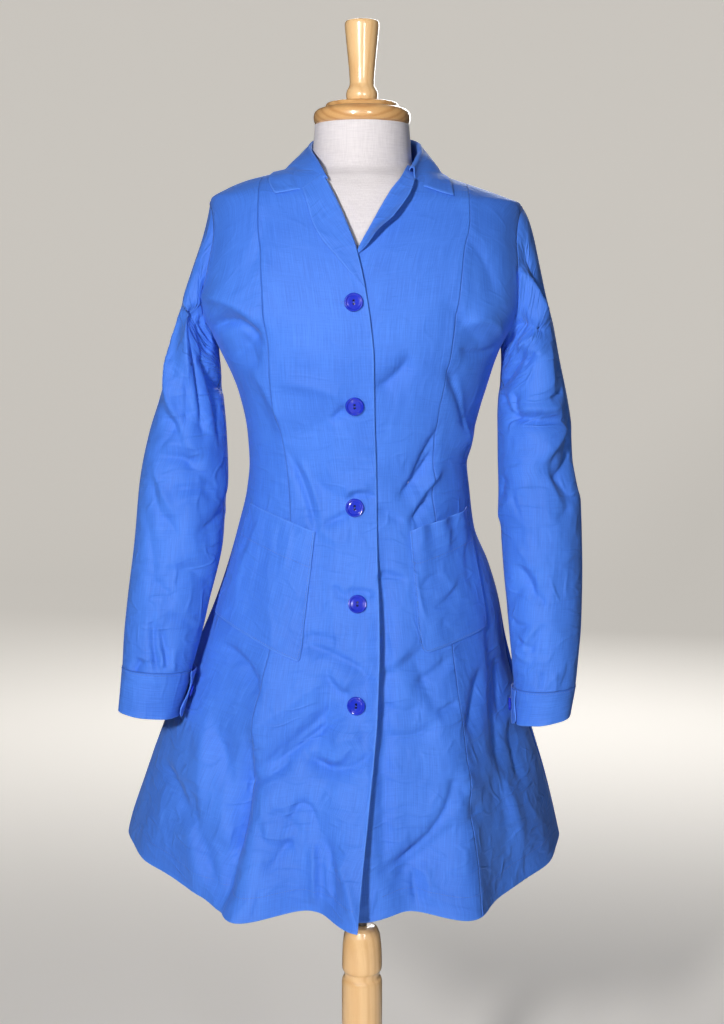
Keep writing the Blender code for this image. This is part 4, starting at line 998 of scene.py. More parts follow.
def behind(line):
    """The same line behind the side seam."""
    return np.stack([np.sign(line[..., 0]) * (2 - np.abs(line[..., 0])), line[..., 1]], -1)


def front_edge(edge, v):
    """A front's free edge from hem to break, then its turning line to the neck."""
    z = seam_heights(v, hem_height(0.0), ROLL_TOP, 1.1)
    return np.stack([u_at(read(edge, "x", z), z), z], -1)


def top_row(grid, share, stops):
    """The grid with its top row laid on the line through (share, u, z) stops.

    Rows above v = 1.9 share the change, so that none of them runs over another.
    """
    corner = np.array([share[np.argmin(np.abs(share - stop[0]))] for stop in stops])
    aim = np.stack([np.interp(share, corner, [s[1] for s in stops]),
                    np.interp(share, corner, [s[2] for s in stops])], -1)
    weight = ease((ROWS - 1.9) / 0.1)[:, None, None]
    return grid + (aim - grid[-1])[None] * weight


def hemmed(grid):
    """u and z with the rows below the underarm laid on the rounded hem line."""
    u, z = grid[..., 0], grid[..., 1]
    low = ROWS < 1
    hem = hem_height(u[low])
    z = z.copy()
    z[low] = hem + (UNDERARM - hem) * ROWS[low][:, None]
    return u, z


LOW_ROWS = spread_shares(625.0)
HIGH_ROWS = np.concatenate([np.linspace(0, 0.86, 60)[1:], np.linspace(0.86, 1, 26)[1:]])
ROWS = np.concatenate([LOW_ROWS, 1 + HIGH_ROWS])     # v of each row of a panel's grid

# How strongly the finish's small creases show at each height.
CRUMPLED = table(
    "z strength",
    (540, 0.8), (640, 0.95), (760, 0.85), (860, 0.75), (960, 0.7), (1040, 0.75), (1120, 0.5),
    (1220, 0.35), (1400, 0.35),
)


def panel(name, surface, left, right, width, seams, stops=None):
    """A body panel between two seam lines, on a surface of u and z."""
    share = spread_shares(width)
    grid = left[:, None] * (1 - share[None, :, None]) + right[:, None] * share[None, :, None]
    if stops is not None:
        grid = top_row(grid, share, stops)
    u, z = hemmed(grid)
    points, normals = ordered(surface(u, z), normal_of(surface, u, z))
    return cloth(name, points, normals, [name.replace("cloth_", "")], seams=seams,
                 crumple=read(CRUMPLED, "strength", points[..., 2]))


for label, side, edge, surface in (("right", -1, TOP_EDGE, right_front),
                                   ("left", 1, UNDER_EDGE, left_front)):
    free_edge = front_edge(edge, ROWS)
    seam = front_princess(side, ROWS)
    neck = NECK_SHARE["front"]
    stops = ((0, free_edge[-1, 0], ROLL_TOP), (neck, side, NECK_Z), (1, side, SHOULDER_Z[side]))
    # Columns run along +u, so the right front's free edge is its last column.
    panel("cloth_front_" + label, surface, free_edge, seam, 150.0,
          (side < 0, side > 0, False, True), stops)

for label, side in SIDES:
    seam = side_seam(side, ROWS)
    panel("cloth_side_front_" + label, body, front_princess(side, ROWS), seam, 130.0,
          (True, True, False, True))
    panel("cloth_side_back_" + label, body, behind(seam), back_princess(side, ROWS), 130.0,
          (True, True, False, True))

left_seam, right_seam = back_princess(1, ROWS), back_princess(-1, ROWS)
right_seam[:, 0] += FULL_TURN            # the same places, counted on past the centre back
neck = NECK_SHARE["back"]
panel("cloth_back", body, left_seam, right_seam, 230.0, (True, True, False, True),
      ((0, 1, SHOULDER_Z[1]), (neck, 1, NECK_Z), (1 - neck, 3, NECK_Z), (1, 3, SHOULDER_Z[-1])))


# Sleeves
# One piece each, sewn up along the underarm and set into the armhole with a slight pull.
# They hang a little bent, as an arm does, and crumple at the elbow and along the forearm.
SLEEVE = {
    -1: table(
        "share outer outer_z inner inner_z y depth bow",
        (0.00, 178, 1351, 170, 1182, 6, 54, 8), (0.05, 184, 1311, 169, 1173, 2, 57, 20),
        (0.10, 196, 1270, 168, 1163, 0, 60, 17), (0.16, 209, 1223, 167, 1152, -2, 60, 11),
        (0.23, 223, 1171, 166, 1137, -4, 60, 5), (0.31, 239, 1118, 163, 1115, -8, 58, 2),
        (0.38, 251, 1080, 160, 1080, -13, 56, 0), (0.48, 262, 1024, 158, 1028, -21, 53, 0),
        (0.60, 268, 954, 163, 958, -32, 49, 0), (0.73, 276, 884, 179, 886, -44, 45, 0),
        (0.84, 280, 838, 191, 836, -52, 42, 0), (0.90, 281, 812, 199, 808, -57, 39, 0),
        (1.00, 285, 759, 216, 751, -64, 33, 0),
    ),
    1: table(
        "share outer outer_z inner inner_z y depth bow",
        (0.00, 187, 1348, 164, 1181, 6, 54, 8), (0.05, 203, 1319, 165, 1171, 2, 56, 10),
        (0.10, 210, 1270, 165, 1160, 0, 59, 11), (0.16, 222, 1218, 164, 1146, -2, 60, 8),
        (0.23, 232, 1167, 162, 1129, -6, 60, 4), (0.31, 242, 1118, 160, 1098, -13, 58, 1),
        (0.38, 250, 1065, 160, 1060, -21, 55, 0), (0.48, 257, 1001, 162, 1001, -32, 51, 0),
        (0.60, 258, 932, 165, 936, -45, 46, 0), (0.73, 256, 863, 171, 863, -59, 42, 0),
        (0.84, 252, 822, 175, 816, -68, 39, 0), (0.90, 249, 793, 177, 789, -72, 37, 0),
        (1.00, 243, 756, 178, 746, -78, 32, 0),
    ),
}
CUFF_START = 0.905           # share of the sleeve where the cuff is sewn on
HEAD = 0.12                  # share of the length over which the armhole's form fades out
FOLDS_FROM = (0.0, 0.05)     # shares of the length where folds start and where they are full
FOLD_LENGTH = 600.0          # a sleeve's rough length
FOLD_GIRTH = 160.0           # half its rough girth
SLEEVE_AROUND = 150
SLEEVE_SPACING = 3.0         # about how far apart a sleeve's rings lie
SLEEVE_SHOWN = 560.0         # a sleeve's rough length above its cuff

# From and to a share of the length and an angle round the sleeve, where 0 is outside, 90 in
# front, 180 inside and 270 behind.
SLEEVE_FOLDS = {
    -1: table(
        "share0 angle0 share1 angle1 spread height bow",
        (0.14, 120, 0.26, 185, 10, -6.5, 0), (0.3, 60, 0.37, 130, 11, -6.5, 0),
        (0.41, 80, 0.5, 150, 11, -6.5, 0), (0.58, 120, 0.52, 190, 10, -5.2, 0),
        (0.64, 100, 0.7, 170, 10, -5.2, 0), (0.4, 240, 0.5, 330, 12, -6.5, 0),
        (0.62, 280, 0.55, 200, 11, 5.2, 0),
        (0.03, 120, 0.165, 34, 6, 6.5, 6), (0.155, 42, 0.062, 124, 6, -11.1, 0),
        (0.165, 36, 0.34, 74, 6, 7.8, -6), (0.38, 150, 0.11, 128, 5, -7.8, -3),
        (0.37, 122, 0.16, 100, 5, -6.5, -3), (0.12, 86, 0.26, 92, 6, 3.9, 0),
        (0.052, 124, 0.062, 150, 3, -6.5, 0), (0.072, 122, 0.085, 148, 3, -6.5, 0),
        (0.094, 124, 0.1, 146, 3, -5.2, 0), (0.33, 50, 0.41, 92, 7, -6.5, 4),
        (0.425, 56, 0.44, 118, 6, -6.2, 4),
        (0.41, 112, 0.4, 60, 7, 3.9, -4), (0.44, 52, 0.54, 88, 5, 5.1, -3),
        (0.57, 80, 0.47, 52, 7, -4.3, 3), (0.495, 82, 0.495, 135, 5, -5.1, 3),
        (0.515, 130, 0.52, 90, 6, 3.5, -3), (0.54, 73, 0.585, 94, 4, -2.9, 0),
        (0.67, 66, 0.725, 100, 5, -3.2, 4), (0.75, 100, 0.785, 140, 4, -3.1, 2),
        (0.65, 80, 0.65, 138, 5, -1.8, 0), (0.22, 42, 0.33, 70, 8, 3.9, 3),
        (0.36, 92, 0.24, 84, 6, -3.9, -3), (0.7, 70, 0.54, 42, 6, -2.7, -4),
        (0.9, 96, 0.764, 76, 4, -6.5, 3), (0.884, 110, 0.788, 89, 4, -5.9, 0),
        (0.905, 52, 0.872, 66, 6, -6.5, 0), (0.83, 85, 0.9, 100, 4, 3.1, 8),
        (0.85, 118, 0.9, 124, 4, 2.7, 0),
        (0.42, 48, 0.34, 74, 8, -3.5, -3), (0.34, 160, 0.2, 140, 6, -3.1, 0),
        (0.7, 200, 0.78, 260, 8, -4.3, 4), (0.3, 210, 0.36, 290, 9, -4.7, 5),
        (0.26, 300, 0.2, 230, 9, 3.9, -4), (0.88, 330, 0.8, 300, 7, -3.1, -2),
    ),
    1: table(
        "share0 angle0 share1 angle1 spread height bow",
        (0.12, 120, 0.22, 185, 10, -6.5, 0), (0.34, 20, 0.4, 90, 11, -6.5, 0),
        (0.47, 40, 0.4, 90, 11, -7.8, 0), (0.52, 180, 0.44, 110, 10, 5.2, 0),
        (0.62, 110, 0.7, 175, 10, -5.2, 0), (0.42, 230, 0.5, 320, 12, -6.5, 0),
        (0.63, 290, 0.56, 200, 11, 5.2, 0),
        (0.315, 128, 0.245, 158, 5, -5.1, -3), (0.338, 38, 0.31, 138, 4.5, -9.8, 0),
        (0.295, 125, 0.322, 45, 6, 5.9, 0), (0.4, 88, 0.342, 36, 7, 10.4, 0),
        (0.37, 28, 0.43, 70, 8, -9.1, -4), (0.475, 64, 0.395, 84, 5, 3.5, -3),
        (0.16, 46, 0.005, 100, 5, 9.1, 0), (0.15, 20, 0.03, 80, 12, -9.1, 0),
        (0.165, 52, 0.035, 138, 5, -10.4, -6), (0.115, 128, 0.13, 96, 4, 5.2, -4),
        (0.075, 132, 0.205, 70, 7, 5.2, 6), (0.164, 98, 0.174, 118, 3, -3.9, 0),
        (0.285, 40, 0.292, 68, 3, -4.5, 0), (0.25, 136, 0.315, 128, 4, -6.5, 0),
        (0.28, 62, 0.19, 60, 8, 3.9, 0), (0.36, 0, 0.46, 10, 10, -5.2, 0),
        (0.323, 34, 0.325, 76, 3, -2.7, 3),
        (0.43, 152, 0.468, 160, 5, -3.5, 3), (0.455, 136, 0.515, 120, 4, -3.2, 3),
        (0.53, 112, 0.47, 128, 5, 2.9, -3), (0.66, 110, 0.61, 134, 4, -4.3, 4),
        (0.6, 124, 0.65, 102, 5, 3.2, -4), (0.682, 94, 0.66, 114, 4, -3.5, 3),
        (0.725, 98, 0.805, 122, 4, -2.9, 4), (0.8, 134, 0.735, 110, 5, 2.6, -4),
        (0.73, 122, 0.72, 166, 4, -3.1, -3), (0.565, 134, 0.61, 94, 6, 2.6, 5),
        (0.485, 50, 0.51, 74, 4, -2.6, 0), (0.855, 105, 0.9, 106, 4, -3.1, 0),
        (0.68, 82, 0.585, 78, 5, 2, -2), (0.905, 76, 0.86, 78, 4, 2.3, 0),
        (0.79, 118, 0.76, 150, 4, -2.6, -2), (0.8, 158, 0.83, 124, 4, 2.6, 3),
        (0.69, 210, 0.76, 270, 8, -4.3, 4), (0.28, 215, 0.34, 290, 9, -4.7, 5),
        (0.24, 300, 0.18, 230, 9, 3.9, -4), (0.79, 290, 0.87, 330, 7, -3.1, 2),
    ),
}


def oval(side, share, angle, swell=0.0):
    """A point of the sleeve's ring: an ellipse between its outer and inner points."""
    rows = SLEEVE[side]
    share = np.asarray(share, float)
    outer = np.stack([side * read(rows, "outer", share), 0 * share, read(rows, "outer_z", share)], -1)
    inner = np.stack([side * read(rows, "inner", share), 0 * share, read(rows, "inner_z", share)], -1)
    half = (outer - inner) / 2
    reach = half + unit(half) * np.asarray(swell)[..., None]
    point = (outer + inner) / 2 + reach * np.cos(angle)[..., None]
    point[..., 1] += read(rows, "y", share) - (read(rows, "depth", share) + swell) * np.sin(angle)
    point[..., 0] += side * read(rows, "bow", share) * np.sin(angle) ** 2
    return point


def sleeve_relief(side, share, angle):
    """Folds of a sleeve, as distances out from its ring."""
    push = 0 * share
    for share0, angle0, share1, angle1, spread, height, bow in zip(*SLEEVE_FOLDS[side].values()):
        turn = (np.degrees(angle) - (angle0 + angle1) / 2 + 180) % 360 - 180
        from_angle = (turn + (angle1 - angle0) / 2) / 180 * FOLD_GIRTH
        run_angle = (angle1 - angle0) / 180 * FOLD_GIRTH
        push = push + crease((share - share0) * FOLD_LENGTH, from_angle,
                             (share1 - share0) * FOLD_LENGTH, run_angle, spread, height, bow)
    return push


def armhole(side, angle):
    """The armhole's points and outward directions for angles round the sleeve."""
    share = np.abs(1 - angle / math.pi)
    line = side_seam(side, 1 + share)
    u = np.where(angle <= math.pi, line[..., 0], side * (2 - np.abs(line[..., 0])))
    return body(u, line[..., 1]), normal_of(body, u, line[..., 1])


def tube_normals(points):
    """Outward directions of a tube given as rings of points."""
    round_it = np.roll(points, -1, 1) - np.roll(points, 1, 1)
    normals = unit(np.cross(round_it, np.gradient(points, axis=0)))
    outward = points - points.mean(1, keepdims=True)
    return normals * np.sign(np.sum(normals * outward))


def sleeve_grid(side):
    """A sleeve's rings from the armhole to the cuff; the seam lies at the first column."""
    share = spread_shares(SLEEVE_SHOWN, SLEEVE_SPACING) * CUFF_START
    angle = (full_turn(SLEEVE_AROUND) + math.pi) % (2 * math.pi)
    share, angle = np.meshgrid(share, angle, indexing="ij")
    start, full = FOLDS_FROM
    folds = sleeve_relief(side, share, angle) * ease((share - start) / (full - start))
    seam, seam_normals = armhole(side, angle[0])
    blend = ease(share / HEAD)[..., None]
    points = seam[None] * (1 - blend) + oval(side, share, angle) * blend
    points = points + tube_normals(points) * folds[..., None]
    normals = tube_normals(points)
    run = np.roll(seam, -1, 0) - np.roll(seam, 1, 0)
    off = unit(np.cross(run, seam_normals))
    off = off * np.sign(np.sum(off * (points[3] - seam)))
    leaves = np.sum((points[3] - seam) * seam_normals, -1, keepdims=True)
    points[0] = seam + off * DRAW + seam_normals * np.where(leaves > 0, SEAM, 0.0)
    return points, normals


for label, side in SIDES:
    points, normals = sleeve_grid(side)
    points, normals = ordered(points[::-1], normals[::-1])
    cloth("cloth_sleeve_" + label, points, normals, ["sleeve_" + label],
          closed=True, draw=0, crumple=1.0)


# Cuffs
# A doubled band sewn to each sleeve.  It laps over itself on the side next to the body, where
# its end, with one rounded corner, is buttoned down.
CUFF_OUT = 0.6               # a cuff's outer face lies this far outside the sleeve's
CUFF_LAP = 0.16              # share of a turn that a cuff laps over itself
CUFF_LIFT = {-1: 5.0, 1: 2.6}            # how far each lapping end stands off
CUFF_CURVE = {-1: 0.035, 1: 0.01}        # how far its edge is cut back halfway, in turns
LIFT_RANGE = (0.86, 0.99)    # turns from the under end where that lift starts and is full
CUFF_FROM = math.radians(215)            # where the under end lies round the sleeve
CUFF_THICK = 1.5
CUFF_WAVE = 1.1              # height of the soft waves along a cuff's lower edge
CUFF_ROUND = 11.0            # radius of the lapping end's lower corner
CUFF_GIRTH = 250.0
CUFF_DEEP = 56.0
CUFF_SPACING = 2.4


def cuff_surface(side, turn, share):
    """The cuff's band, where turn runs from its under end to its lapping end, from 0 to 1.

    It is the sleeve's ring moved out by a constant, a lift at the lapping end and two sines.
    """
    turns = turn * (1 + CUFF_LAP)
    start, full = LIFT_RANGE
    down = (share - CUFF_START) / (1 - CUFF_START)
    wave = CUFF_WAVE * np.sin(turns * 29 + side) * np.sin(turns * 12.7 + 1) * down
    lift = CUFF_OUT + CUFF_LIFT[side] * ease((turns - start) / (full - start)) + wave
    return oval(side, share, CUFF_FROM - turns * 2 * math.pi, lift)


def grid_normals(points):
    """Directions square to a grid, pointing away from its middle."""
    normals = unit(np.cross(np.gradient(points, axis=1), np.gradient(points, axis=0)))
    outward = points - points.mean(1, keepdims=True)
    return normals * np.sign(np.sum(normals * outward))


for label, side in SIDES:
    turn, down = np.meshgrid(spread_shares(CUFF_GIRTH, CUFF_SPACING),
                             spread_shares(CUFF_DEEP, CUFF_SPACING))
    from_end = (1 - turn) * CUFF_GIRTH
    inside = np.clip(1 - from_end / CUFF_ROUND, 0, 1)
    cut = CUFF_ROUND * (1 - np.sqrt(1 - inside ** 2)) / CUFF_DEEP
    share = CUFF_START + (1 - CUFF_START) * down * (1 - cut)
    curve = CUFF_CURVE[side] * np.sin(math.pi * down) ** 2 * ease((turn - 0.8) / 0.2)
    points = cuff_surface(side, turn - curve, share)
    normals = grid_normals(points)
    points[0] += unit(points[1] - points[0]) * SEAM * 0.5
    points, normals = ordered(points[::-1], normals[::-1])
    cloth("cloth_cuff_" + label, points, normals, ["cuff_" + label],
          thick=CUFF_THICK, draw=0,
          seams=(False, False, False, True), uv_turn=90.0)


# Lapels
# The fronts' own cloth turned back on itself.  The right one lies flat in a narrow strip with
# small puckers; the left one stands well off the front and throws a shadow on it.
LAPEL_EDGE = {
    -1: table("share x z", (0.0, 0, 1250), (0.15, -12, 1262), (0.35, -28, 1281), (0.55, -46, 1303),
              (0.72, -55, 1320), (0.86, -60, 1338), (1.0, -66, 1357)),
    1: table("share x z", (0.0, -4, 1283), (0.14, 6, 1292), (0.3, 19, 1307), (0.45, 34, 1320),
             (0.62, 45, 1335), (0.8, 54, 1350), (1.0, 58, 1364)),
}
LAPEL_FROM = {-1: 1245.0, 1: 1279.0}     # where each turning line starts
LAPEL_LIFT = {-1: 0.8, 1: 13.0}          # how far each free edge stands off its front
LAPEL_END = {-1: 1374.0, 1: 1378.0}      # and where it meets the collar
LAPEL_GAP = 1.7              # how far a lapel's outer face clears its front
LAPEL_WAVE = {-1: 0.35, 1: 1.3}          # height of the waves along each free edge
LAPEL_LONG, LAPEL_WIDE = 150.0, 30.0
LAPEL_START = 0.04           # share of the width where the turned cloth begins to show
LAPEL_TURN = 8.0             # degrees between its weave and its edge

for label, side, edge, surface in (("right", -1, TOP_EDGE, right_front),
                                   ("left", 1, UNDER_EDGE, body)):
    share = spread_shares(LAPEL_LONG, 2.0)[:, None]
    wide = LAPEL_START + (1 - LAPEL_START) * spread_shares(LAPEL_WIDE, 1.6)[None]
    roll_z = LAPEL_FROM[side] + (LAPEL_END[side] - LAPEL_FROM[side]) * share
    rim = LAPEL_EDGE[side]
    x = read(edge, "x", roll_z) * (1 - wide) + read(rim, "x", share) * wide
    z = roll_z * (1 - wide) + read(rim, "z", share) * wide
    u = u_at(x, z)
    normals = normal_of(surface, u, z)
    bow = ease(share * 3.5) * (1 - 0.55 * share ** 3)
    wave = LAPEL_WAVE[side] * wide ** 2 * np.sin(share * 21 + 0.4) * np.sin(share * 9 + 1)
    lift = LAPEL_LIFT[side] * wide ** 1.4 * bow + np.maximum(wave, -0.5)
    points = surface(u, z) + normals * (LAPEL_GAP + lift)[..., None]
    points, normals = ordered(points, normals)
    cloth("cloth_lapel_" + label, points, normals, ["lapel_" + label],
          draw=0, seams=(False, False, False, False),
          uv_turn=LAPEL_TURN * side)


# Collar
# One doubled piece that stands up from the neck seam, rolls over and lies on the shoulders,
# its right end flat and its left end a little proud, with a clear point.
COLLAR = {
    -1: table(
        "turn seam_x seam_y seam_z roll_x roll_y roll_z edge_x edge_y edge_z",
        (0.00, 0, 77, 1397, 0, 70, 1431, 0, 104, 1384),
        (0.25, 36, 68, 1396, 34, 62, 1430, 52, 90, 1386),
        (0.50, 60, 36, 1393, 57, 32, 1423, 84, 52, 1387),
        (0.70, 66, 8, 1391, 61, 4, 1413, 91, 12, 1384),
        (0.83, 64, -18, 1387, 59, -22, 1405, 95, -22, 1375),
        (0.92, 58, -42, 1384, 53, -48, 1394, 95, -44, 1361),
        (1.00, 43, -71, 1368, 41, -76, 1371, 88, -66, 1343),
    ),
    1: table(
        "turn seam_x seam_y seam_z roll_x roll_y roll_z edge_x edge_y edge_z",
        (0.00, 0, 77, 1397, 0, 70, 1431, 0, 104, 1384),
        (0.25, 37, 68, 1396, 37, 62, 1430, 54, 91, 1386),
        (0.50, 61, 36, 1393, 61, 31, 1423, 85, 52, 1386),
        (0.70, 67, 8, 1391, 67, 4, 1415, 90, 12, 1383),
        (0.83, 65, -16, 1389, 67, -20, 1406, 94, -22, 1375),
        (0.92, 61, -36, 1388, 63, -42, 1396, 98, -44, 1363),
        (1.00, 54, -60, 1378, 56, -66, 1382, 98, -66, 1341),
    ),
}
COLLAR_DIP = {-1: (0.0, -6.0, -8.0), 1: (-24.0, -8.0, -9.0)}    # each front end's bow
ROLL_RADIUS = 3.0
LEAF_BULGE = 1.5             # how far the leaf's middle stands out and up from a straight line
LEAF_GAP = 2.0               # how far the leaf's outer face clears the dress
LEAF_ROWS = 12               # rows of the leaf that are kept clear of it
COLLAR_AROUND = 171
COLLAR_THICK = 1.2
COLLAR_WAVE = 0.9            # height of the soft waves along the leaf's edge
NEAREST_BLOCK = 400          # points compared with the cloth beneath at a time


def stood_off(points, normals, names, gap):
    """The points moved out along their normals until they clear the named cloth.

    Each point's nearest sample of that cloth gives a flat plane to stand off from.
    """
    spots = np.concatenate([COVER[name][0] for name in names])
    facing = np.concatenate([COVER[name][1] for name in names])
    low, high = points.reshape(-1, 3).min(0) - 20, points.reshape(-1, 3).max(0) + 20
    near = np.all((spots > low) & (spots < high), -1)
    spots, facing = spots[near], facing[near]
    flat, push = points.reshape(-1, 3), normals.reshape(-1, 3)
    moved = []
    for block in range(0, len(flat), NEAREST_BLOCK):
        here, way = flat[block:block + NEAREST_BLOCK], push[block:block + NEAREST_BLOCK]
        nearest = np.argmin(((here[:, None] - spots[None]) ** 2).sum(-1), 1)
        clear = np.sum((here - spots[nearest]) * facing[nearest], -1)
        slant = np.maximum(np.sum(way * facing[nearest], -1), 0.4)
        moved.append(here + way * (np.maximum(gap - clear, 0) / slant)[:, None])
    return np.concatenate(moved).reshape(points.shape)


def collar_grid():
    """Points across and round the collar: up the stand, over the roll and down the leaf.

    Stand and leaf are straight but for a slight bulge, and the roll is half a circle.
    """
    turns = np.linspace(-1, 1, COLLAR_AROUND)
    where = {}
    for part in ("seam", "roll", "edge"):
        sides = []
        for side in (-1, 1):
            rows, turn = COLLAR[side], np.abs(turns)
            sides.append(np.stack([side * read(rows, part + "_x", turn),
                                   read(rows, part + "_y", turn),
                                   read(rows, part + "_z", turn)], -1))
        where[part] = np.where((turns < 0)[:, None], sides[0], sides[1])
    seam, roll, edge = where["seam"], where["roll"], where["edge"]
    out = unit((edge - seam) * np.array([1, 1, 0]))
    up = np.array([0.0, 0.0, 1.0])
    centre = roll - up * ROLL_RADIUS
    lines = [seam + (centre - out * ROLL_RADIUS - seam) * t for t in np.linspace(0, 1, 8)[:-1]]
    lines += [centre + ROLL_RADIUS * (up * math.sin(a) - out * math.cos(a))
              for a in np.linspace(0, math.pi, 9)]
    start = centre + out * ROLL_RADIUS
    dip = np.where((turns < 0)[:, None], COLLAR_DIP[-1], COLLAR_DIP[1])
    dip = dip * ease((np.abs(turns) - 0.8) / 0.2)[:, None]
    for t in np.concatenate([np.linspace(0, 0.9, 13)[1:], [0.95, 0.98, 1.0]]):
        wave = COLLAR_WAVE * t * np.sin(turns * 17 + 0.6) * np.sin(turns * 6.3 + 2)
        bulge = LEAF_BULGE * 4 * t * (1 - t) + wave
        lines.append(start + (edge - start) * t + (out + up) * bulge[:, None]
                     + dip * 2 * t * (1 - t))
    return np.array(lines)


points = collar_grid()
normals = unit(np.cross(np.gradient(points, axis=1), np.gradient(points, axis=0)))
middle = points.shape[1] // 2
if np.dot(normals[-2, middle], np.array([0.0, 1.0, 0.3])) < 0:
    normals = -normals
leaf = points.shape[0] - LEAF_ROWS
reach = np.linspace(0, 1, LEAF_ROWS)[:, None, None]
panels = [name for name in COVER if "front" in name or "back" in name or "lapel" in name]
lifted = stood_off(points[leaf:], normals[leaf:], panels, LEAF_GAP)
points[leaf:] += (lifted - points[leaf:]) * ease(reach * 3)
points, normals = ordered(points, normals)
cloth("cloth_collar", points, normals, ["collar"],
      thick=COLLAR_THICK, draw=0, seams=(False, False, True, False))


# Patch pockets
# Each is set over the princess seam at hip height and sewn on along three sides; the mouth
# has a wide turned band, held by a row of stitches.
POCKET = {
    -1: dict(mouth=((-53, 973), (-129, 999)), floor=((-70, 828), (-176, 868))),
    1: dict(mouth=((54, 973), (122, 994)), floor=((66, 836), (148, 856))),
}
POCKET_GAPE = {-1: 1.0, 1: 8.0}          # how far each mouth stands open
POCKET_CORNER = {-1: (4.0, 4.0), 1: (13.0, 22.0)}    # the lower inner corner, across and up
POCKET_OUT = 1.6                         # how far a pocket's outer face clears the panels
POCKET_BAND = 0.28                       # share of the depth that the turned band takes
POCKET_WIDE, POCKET_DEEP = 100.0, 150.0
POCKET_PUFF = 0.9                        # how far its middle stands off its sewn edges
POCKET_STEP = 0.35                       # how much thicker the band is
POCKET_SPACING = 1.9

# From and to places across and down a pocket, as shares of its size.
POCKET_CREASES = table(
    "side wide0 down0 wide1 down1 spread height bow",
    (-1, 0.66, 0.86, 0.7, 0.12, 4, -2.5, -4), (-1, 0.8, 0.15, 0.78, 0.8, 4.5, 2.2, -4),
    (-1, 0.22, 0.64, 0.02, 0.56, 3.5, -2.2, 2), (-1, 0.33, 0.05, 0.34, 0.36, 4, 2.1, 2),
    (-1, 0.88, 0.4, 0.92, 0.1, 4, -2.1, -2), (-1, 0.47, 0.27, 0.5, 0.06, 3.5, -1.8, 1.5),
    (-1, 0.42, 0.7, 0.3, 0.95, 5, 2.1, 3), (-1, 0.26, 0.94, 0.1, 0.8, 4, -1.8, 0),
    (1, 0.58, 0.58, 0.26, 0.66, 4, -2.7, -4), (1, 0.3, 0.6, 0.62, 0.52, 5, 2.1, 4),
    (1, 0.86, 0.28, 0.84, 0.62, 4, -2.5, 3), (1, 0.4, 0.42, 0.1, 0.46, 4, -2.1, 3),
    (1, 0.12, 0.72, 0.04, 0.34, 3.5, 2.1, -3), (1, 0.55, 0.26, 0.6, 0.08, 4, 1.8, 0),
    (1, 0.52, 0.95, 0.34, 0.8, 4.5, -2.1, -3),
)


def pocket_surface(side, wide, down, out=POCKET_OUT):
    """A pocket's outer face, from its place across and down; corners are joined by lines."""
    (ax, az), (bx, bz) = POCKET[side]["mouth"]
    (cx, cz), (dx, dz) = POCKET[side]["floor"]
    corner_wide, corner_up = POCKET_CORNER[side]
    inside = np.clip(1 - wide * POCKET_WIDE / corner_wide, 0, 1)
    down = down * (1 - corner_up * (1 - np.sqrt(1 - inside ** 2)) / POCKET_DEEP)
    x = (ax * (1 - wide) + bx * wide) * (1 - down) + (cx * (1 - wide) + dx * wide) * down
    z = (az * (1 - wide) + bz * wide) * (1 - down) + (cz * (1 - wide) + dz * wide) * down
    u = u_at(x, z)
    normals = normal_of(body, u, z)
    gapes = 0.4 * np.sin(math.pi * wide) + 0.6 * np.sin(3 * math.pi * wide) ** 2
    push = POCKET_GAPE[side] * (1 - down) ** 5 * gapes
    for of_side, wide0, down0, wide1, down1, spread, height, bow in zip(*POCKET_CREASES.values()):
        if of_side == side:
            push = push + crease((wide - wide0) * POCKET_WIDE, (down - down0) * POCKET_DEEP,
                                 (wide1 - wide0) * POCKET_WIDE, (down1 - down0) * POCKET_DEEP,
                                 spread, height, bow)
    inner = np.minimum(np.minimum(wide, 1 - wide) * POCKET_WIDE, (1 - down) * POCKET_DEEP)
    puff = POCKET_PUFF * ease(inner / 14.0) * ease(down * 8)
    step = POCKET_STEP * ease((down - POCKET_BAND) * POCKET_DEEP / -1.5 + 0.5)
    push = np.maximum(push * ease(inner / 8.0 + 0.2) + puff, -0.4) + step
    return body(u, z) + normals * (out + push)[..., None], normals


for label, side in SIDES:
    wide, down = np.meshgrid(spread_shares(POCKET_WIDE, POCKET_SPACING),
                             spread_shares(POCKET_DEEP, POCKET_SPACING))
    points, normals = pocket_surface(side, wide, down)
    points, normals = ordered(points[::-1], normals[::-1])
    cloth("cloth_pocket_" + label, points, normals, ["pocket_" + label],
          draw=0, seams=(False, False, False, False))


# Stitches
# Single rows of blue sewing thread, about three millimetres a stitch, that hold the hem, the
# pockets and the cuffs.  Each stitch is a short bead lying on the cloth.
STITCH_PITCH = 3.0
STITCH_LONG = 2.3
STITCH_WIDE = 0.55
STITCH_HIGH = 0.22


def thread_finish():
    """Matt thread with a fine twist."""
    thread = Finish("blue_thread", roughness=0.5, sheen_weight=0.3)
    place = thread.node("TexCoord", {}, {}, "Object")
    twist = thread.noise(place, (1600, 1600, 1600))
    return thread.finished(height=twist, depth=0.1, base_color=thread.mixed(
        twist, (0.020, 0.085, 0.42), (0.036, 0.135, 0.60)))


blue_thread = thread_finish()


